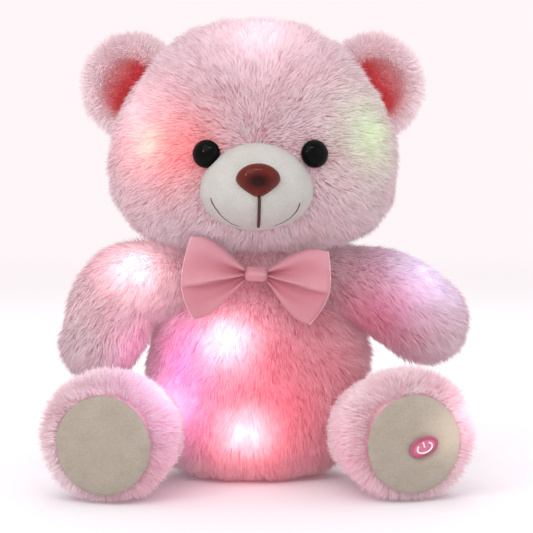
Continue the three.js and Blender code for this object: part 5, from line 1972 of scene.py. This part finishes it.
@dataclass
class Bow:
    """The bow: two folded wings and the band round their middle."""

    length: float = 0.036
    high: float = 0.045
    root: float = 0.008
    thickness: float = 0.015
    edge: float = 0.0036
    droop: float = 0.0045
    sweep: float = 0.003
    start: float = 0.00685
    tilt: float = 0.05
    height_share: float = 0.741
    stand_off: float = 0.011
    hem_thread: float = 0.00045
    knot_half: float = 0.0066
    knot_round: float = 0.0042
    wings: tuple[Wing, Wing] = (Wing(Side.LEFT, 0.06, 0.30, -0.10), Wing(Side.RIGHT, 0.13, 0.22, 0.12))

    def matrix(self) -> Matrix:
        """The bow's own frame, in front of the torso under the chin.

        Returns:
            The frame.
        """
        height = TORSO.base + self.height_share * TORSO.height
        ahead = TORSO.reach(0.0, height) + self.stand_off
        return Matrix.Translation((0, -ahead, height)) @ Matrix.Rotation(self.tilt, 4, "Y")

    def fullness(self, along: np.ndarray, up: np.ndarray) -> np.ndarray:
        """How full the front of a wing stands: tucked in at the knot, with one fold lying over another.

        Args:
            along: shares from the knot to the tip.
            up: shares from the lower edge, -1, to the upper one, 1.

        Returns:
            A share of the full thickness, one where no fold or tuck is.
        """
        near = np.exp(-1.5 * along**1.3)
        made = 1 - 0.95 * near * bell(up - 0.30, 0.24)
        made -= 0.22 * bell(along - 0.6, 0.3) * bell(up - 0.55, 0.2)
        fold = -0.08 - 0.10 * along
        below = np.clip((fold - up) / 0.045, 0, 1)
        below = below * below * (3 - 2 * below)
        back_out = np.clip((fold - up) / (fold + 1), 0, 1)
        made -= below * (0.95 - 0.80 * back_out**1.3) * (1 - 0.45 * along)
        made += 0.22 * bell(up - fold - 0.05, 0.07) * (1 - 0.4 * along)
        return made - 0.35 * near**1.5 * bell(up + 0.62, 0.12)

    def rows(self, wing: Wing) -> tuple[np.ndarray, np.ndarray]:
        """The rings of a wing, from the knot to its tip.

        Args:
            wing: the wing.

        Returns:
            Rings by sides by three, and how much painted shade each point takes in the folds.
        """
        rings, sides = 56, 120
        along = np.clip((np.linspace(0, 1, rings) * (rings + 1) - 1) / (rings - 1), 0, 1)[:, None]
        turn = full_turn(sides)[None, :]
        up, sine = np.cos(turn) * np.ones_like(along), np.sin(turn)
        front = sine < 0
        spread = np.sin(math.pi / 2 * np.minimum(1, along / 0.9)) ** 1.05
        half_high = (self.root + (self.high - self.root) * spread) / 2
        puff = (self.thickness - self.root) * np.sin(math.pi * along) ** 0.8
        half_thick = (self.root + (self.edge - self.root) * along + puff) / 2
        full = self.fullness(along, up)
        shape = np.where(front, np.maximum(full, -0.1), 1.0)
        corner = 1 - np.where(up > 0, wing.high_cut, wing.low_cut) * np.abs(up) ** 1.8
        half_high = half_high * np.where(up > 0, 1 + wing.lift * along * up, 1)
        edge_fade = np.maximum(np.sin(math.pi / 2 * np.minimum(1, (1 - along) / 0.05)), 0.3)
        x = wing.side.value * (self.start + self.length * along * corner)
        y = -self.sweep * along**2 + half_thick * np.sign(sine) * np.abs(sine) ** 0.6 * shape * edge_fade
        z = -self.droop * along + half_high * up
        return np.stack(np.broadcast_arrays(x, y, z), -1), np.clip(1 - full, 0, 1) * front

    def wing(self, wing: Wing) -> None:
        """Makes one wing and the hem at its tip.

        Args:
            wing: the wing.
        """
        word = wing.side.word
        rows, crease = self.rows(wing)
        made = grid_piece("bow_wing_" + word + "_satin", moved(rows, self.matrix()))
        # Painted shade in the folds, kept for the satin finish to read.
        keep_number(made, "crease", np.r_[crease.ravel(), 0, 0])
        finish_piece(rounded(made), "torso", self.satin())
        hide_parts("bow_wing_" + word)
        hem = rows[-1][np.argsort(rows[-1][:, 2])]
        hem = np.array([[x, -abs(y) * 0.6 - self.sweep * 0.4, z] for x, y, z in hem[::4]])
        rim = thread("bow_hem_" + word, [moved(hem, self.matrix())], self.hem_thread)
        # Painted highlight: the hem is coloured paler than the wing for the light along its edge.
        light, dark = linear(232, 184, 192), linear(214, 160, 170)
        pale = ClothFinish("bow_hem_cloth", Cloth.SATIN, light, dark, 0.0006, 0.3)
        finish_piece(rim, "torso", pale.material())

    def satin(self) -> bpy.types.Material:
        """The bow's cloth."""
        light, dark = linear(208, 148, 158), linear(184, 120, 132)
        return ClothFinish("bow_cloth", Cloth.SATIN, light, dark, 0.0006, 0.3).material()

    def knot(self) -> None:
        """Makes the band round the middle, with its folds."""
        rings, sides = 26, 40
        across = np.linspace(-1, 1, rings)[:, None]
        turn = full_turn(sides)[None, :]
        end = np.sqrt(np.maximum(0.02, 1 - np.abs(across) ** 5))
        folds = 1 + 0.05 * np.cos(5 * turn) + 0.03 * np.sin(3 * turn + 2 * across)
        x = self.knot_half * across * (1 - 0.05 * np.sin(turn))
        y = -self.knot_round * np.cos(turn) * folds * end - 0.0006
        z = self.knot_round * np.sin(turn) * folds * end * (1 + 0.10 * across**2) + 0.0008
        y = np.where(y > 0, y * 2.2, y * 1.35)
        rows = np.stack(np.broadcast_arrays(x, y, z), -1)
        made = grid_piece("bow_knot_band", moved(rows, self.matrix()))
        finish_piece(rounded(made), "torso", self.satin())
        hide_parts("bow_knot")

    def dress(self) -> None:
        """Makes the whole bow."""
        for wing in self.wings:
            self.wing(wing)
        self.knot()


# The hard pieces inside


@dataclass
class Works:
    """Lamps, wiring, switch and battery pack: solids that keep their shape and get their finish."""

    def dress(self) -> None:
        """Gives every carried-over solid its finish."""
        finishes = {
            "lamp": HardFinish(
                "lamp_lens_finish",
                Moulding.POLISHED,
                linear(255, 244, 250),
                linear(255, 214, 236),
                0.1,
                0.5,
                0.9,
            ),
            "lime": HardFinish(
                "lamp_lime_finish",
                Moulding.POLISHED,
                linear(214, 246, 190),
                linear(180, 240, 150),
                0.1,
                0.5,
                0.3,
            ),
            "amber": HardFinish(
                "lamp_amber_finish",
                Moulding.POLISHED,
                linear(255, 226, 190),
                linear(255, 204, 160),
                0.1,
                0.5,
                0.3,
            ),
            "washer": HardFinish(
                "washer_finish", Moulding.MATT, linear(230, 230, 226), linear(205, 204, 198), 0.5
            ),
            "harness": HardFinish(
                "wire_finish", Moulding.MATT, linear(240, 238, 236), linear(214, 208, 204), 0.5
            ),
            "pack": HardFinish(
                "pack_finish", Moulding.MATT, linear(240, 239, 236), linear(214, 212, 206), 0.42
            ),
            "board": HardFinish("board_finish", Moulding.MATT, linear(38, 102, 60), linear(24, 70, 42), 0.4),
            "steel": HardFinish(
                "steel_finish", Moulding.METAL, linear(200, 203, 207), linear(150, 152, 158), 0.28
            ),
            "cell": HardFinish(
                "cell_finish", Moulding.MATT, linear(74, 77, 82), linear(120, 122, 126), 0.35, 0.3
            ),
        }
        made = {word: finish.material() for word, finish in finishes.items()}
        light, dark = linear(226, 222, 218), linear(190, 186, 182)
        tape = ClothFinish("tape_finish", Cloth.FELT, light, dark, 0.0008).material()
        for name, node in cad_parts.items():
            if node.hide_render:
                continue
            node.data.materials.clear()
            node.data.materials.append(self.choose(name, made, tape))
            LOG.info("%s keeps its solid", name)

    def choose(
        self, name: str, made: dict[str, bpy.types.Material], tape: bpy.types.Material
    ) -> bpy.types.Material:
        """The finish of a solid, by its name.

        Args:
            name: the solid's name.
            made: the hard finishes.
            tape: the finish of the tapes.

        Returns:
            The material.
        """
        if "tape" in name:
            return tape
        tints = {"lamp_temple_left": "lime", "lamp_temple_right": "amber"}
        if name.startswith("lamp_"):
            return made[tints.get(name, "lamp")]
        for word in ("washer", "harness", "board"):
            if word in name:
                return made[word]
        if "spring" in name or "screw" in name or "plate" in name:
            return made["steel"]
        return made["cell"] if "cell" in name else made["pack"]


# Studio


@dataclass(frozen=True)
class SoftLight:
    """A soft light that looks at the bear. Its height is a share of its width."""

    name: str
    place: Point
    width: float
    power: float
    colour: Colour
    height_share: float = 1.0

    def hang(self, aim: Point) -> None:
        """Hangs the light.

        Args:
            aim: what it looks at.
        """
        lamp = bpy.data.lights.new(self.name, "AREA")
        lamp.shape = "RECTANGLE"
        lamp.size = self.width
        lamp.size_y = self.width * self.height_share
        lamp.energy = self.power
        lamp.color = self.colour
        made = bpy.data.objects.new(self.name, lamp)
        made.location = self.place
        made.rotation_euler = (Vector(aim) - Vector(self.place)).to_track_quat("-Z", "Y").to_euler()
        bpy.context.scene.collection.objects.link(made)


@dataclass
class Studio:
    """The floor, the soft lights and the camera."""

    lights: tuple[SoftLight, ...] = (
        SoftLight("key_light", (-0.5, -0.9, 1.1), 0.9, 3.6, (1.0, 0.985, 0.98)),
        SoftLight("fill_light", (0.9, -0.6, 0.5), 0.9, 0.7, (0.98, 0.98, 1.0)),
        SoftLight("back_light", (0.1, 0.9, 0.9), 0.8, 3.0, (1.0, 0.98, 1.0)),
        SoftLight("sparkle_light", (-0.72, -0.85, 0.62), 0.12, 1.1, (1.0, 1.0, 1.0)),
        SoftLight("strip_light", (0.06, -0.85, 1.05), 0.42, 1.2, (1.0, 1.0, 1.0), 0.10),
    )
    lit_place: Point = (0.0, 0.0, 0.13)
    aim_height: float = 0.1253
    distance: float = 1.25
    eye_height: float = 0.215
    picture: float = 0.3198
    aside: float = 0.0078
    turn: float = math.radians(2)

    def floor(self) -> None:
        """Lays a plain pale floor that meets the pale surroundings far off."""
        corners = np.array([(-12.0, -12.0, 0.0), (12.0, -12.0, 0.0), (12.0, 12.0, 0.0), (-12.0, 12.0, 0.0)])
        made = mesh_piece("floor", corners, np.array([[0, 1, 2, 3]]), np.empty((0, 3)), smooth=False)
        graph = Graph("floor_finish")
        far = graph.ramp(graph.distance(graph.place(), (0.0, 0.0, 0.0)), 0.25, 2.0)
        graph.dress(
            Base_Color=graph.mix(far, linear(241, 242, 245), (0.0, 0.0, 0.0)),
            Roughness=0.6,
            Specular_IOR_Level=0.0,
            Emission_Color=graph.mix(far, (0.0, 0.0, 0.0), linear(254, 246, 248)),
            Emission_Strength=1.0,
        )
        made.data.materials.clear()
        made.data.materials.append(graph.material)

    def surroundings(self) -> None:
        """Lights the scene evenly from all round."""
        world = bpy.data.worlds.new("pale_room")
        world.use_nodes = True
        world.node_tree.nodes["Background"].inputs[0].default_value = (*linear(254, 246, 248), 1)
        world.node_tree.nodes["Background"].inputs[1].default_value = 1.0
        bpy.context.scene.world = world

    def camera(self) -> None:
        """Sets the camera where the photograph was taken from."""
        lens = bpy.data.cameras.new("camera")
        lens.sensor_width = 36
        lens.lens = 36 * self.distance / self.picture
        lens.dof.use_dof = False
        made = bpy.data.objects.new("camera", lens)
        right = Vector((math.cos(self.turn), -math.sin(self.turn), 0))
        ahead = Vector((math.sin(self.turn), math.cos(self.turn), 0))
        made.location = right * self.aside - ahead * self.distance + Vector((0, 0, self.eye_height))
        aim = right * self.aside + Vector((0, 0, self.aim_height))
        made.rotation_euler = (aim - made.location).to_track_quat("-Z", "Y").to_euler()
        bpy.context.scene.collection.objects.link(made)
        bpy.context.scene.camera = made

    def dress(self) -> None:
        """Sets up the whole studio."""
        self.camera()
        self.floor()
        self.surroundings()
        for light in self.lights:
            light.hang(self.lit_place)
        view = bpy.context.scene.view_settings
        view.view_transform = "Standard"


def main() -> None:
    """Builds the bear and its studio, piece by piece."""
    logging.basicConfig(level=logging.INFO, format="%(name)s: %(message)s")
    Studio().dress()
    Head().dress()
    Torso().dress()
    Arm(Side.LEFT, (ARM_LEFT_GLOW, ARM_ROSE_GLOW), (ARM_PAINTED_SHADE,)).dress()
    Arm(Side.RIGHT, (ARM_RIGHT_GLOW, ARM_SIDE_GLOW)).dress()
    Leg(Side.LEFT, LEG_LEFT_GLOW).dress()
    Leg(Side.RIGHT, LEG_RIGHT_GLOW, lamp_lift=0.0036).dress()
    Bow().dress()
    Works().dress()


if __name__ == "__main__":
    main()
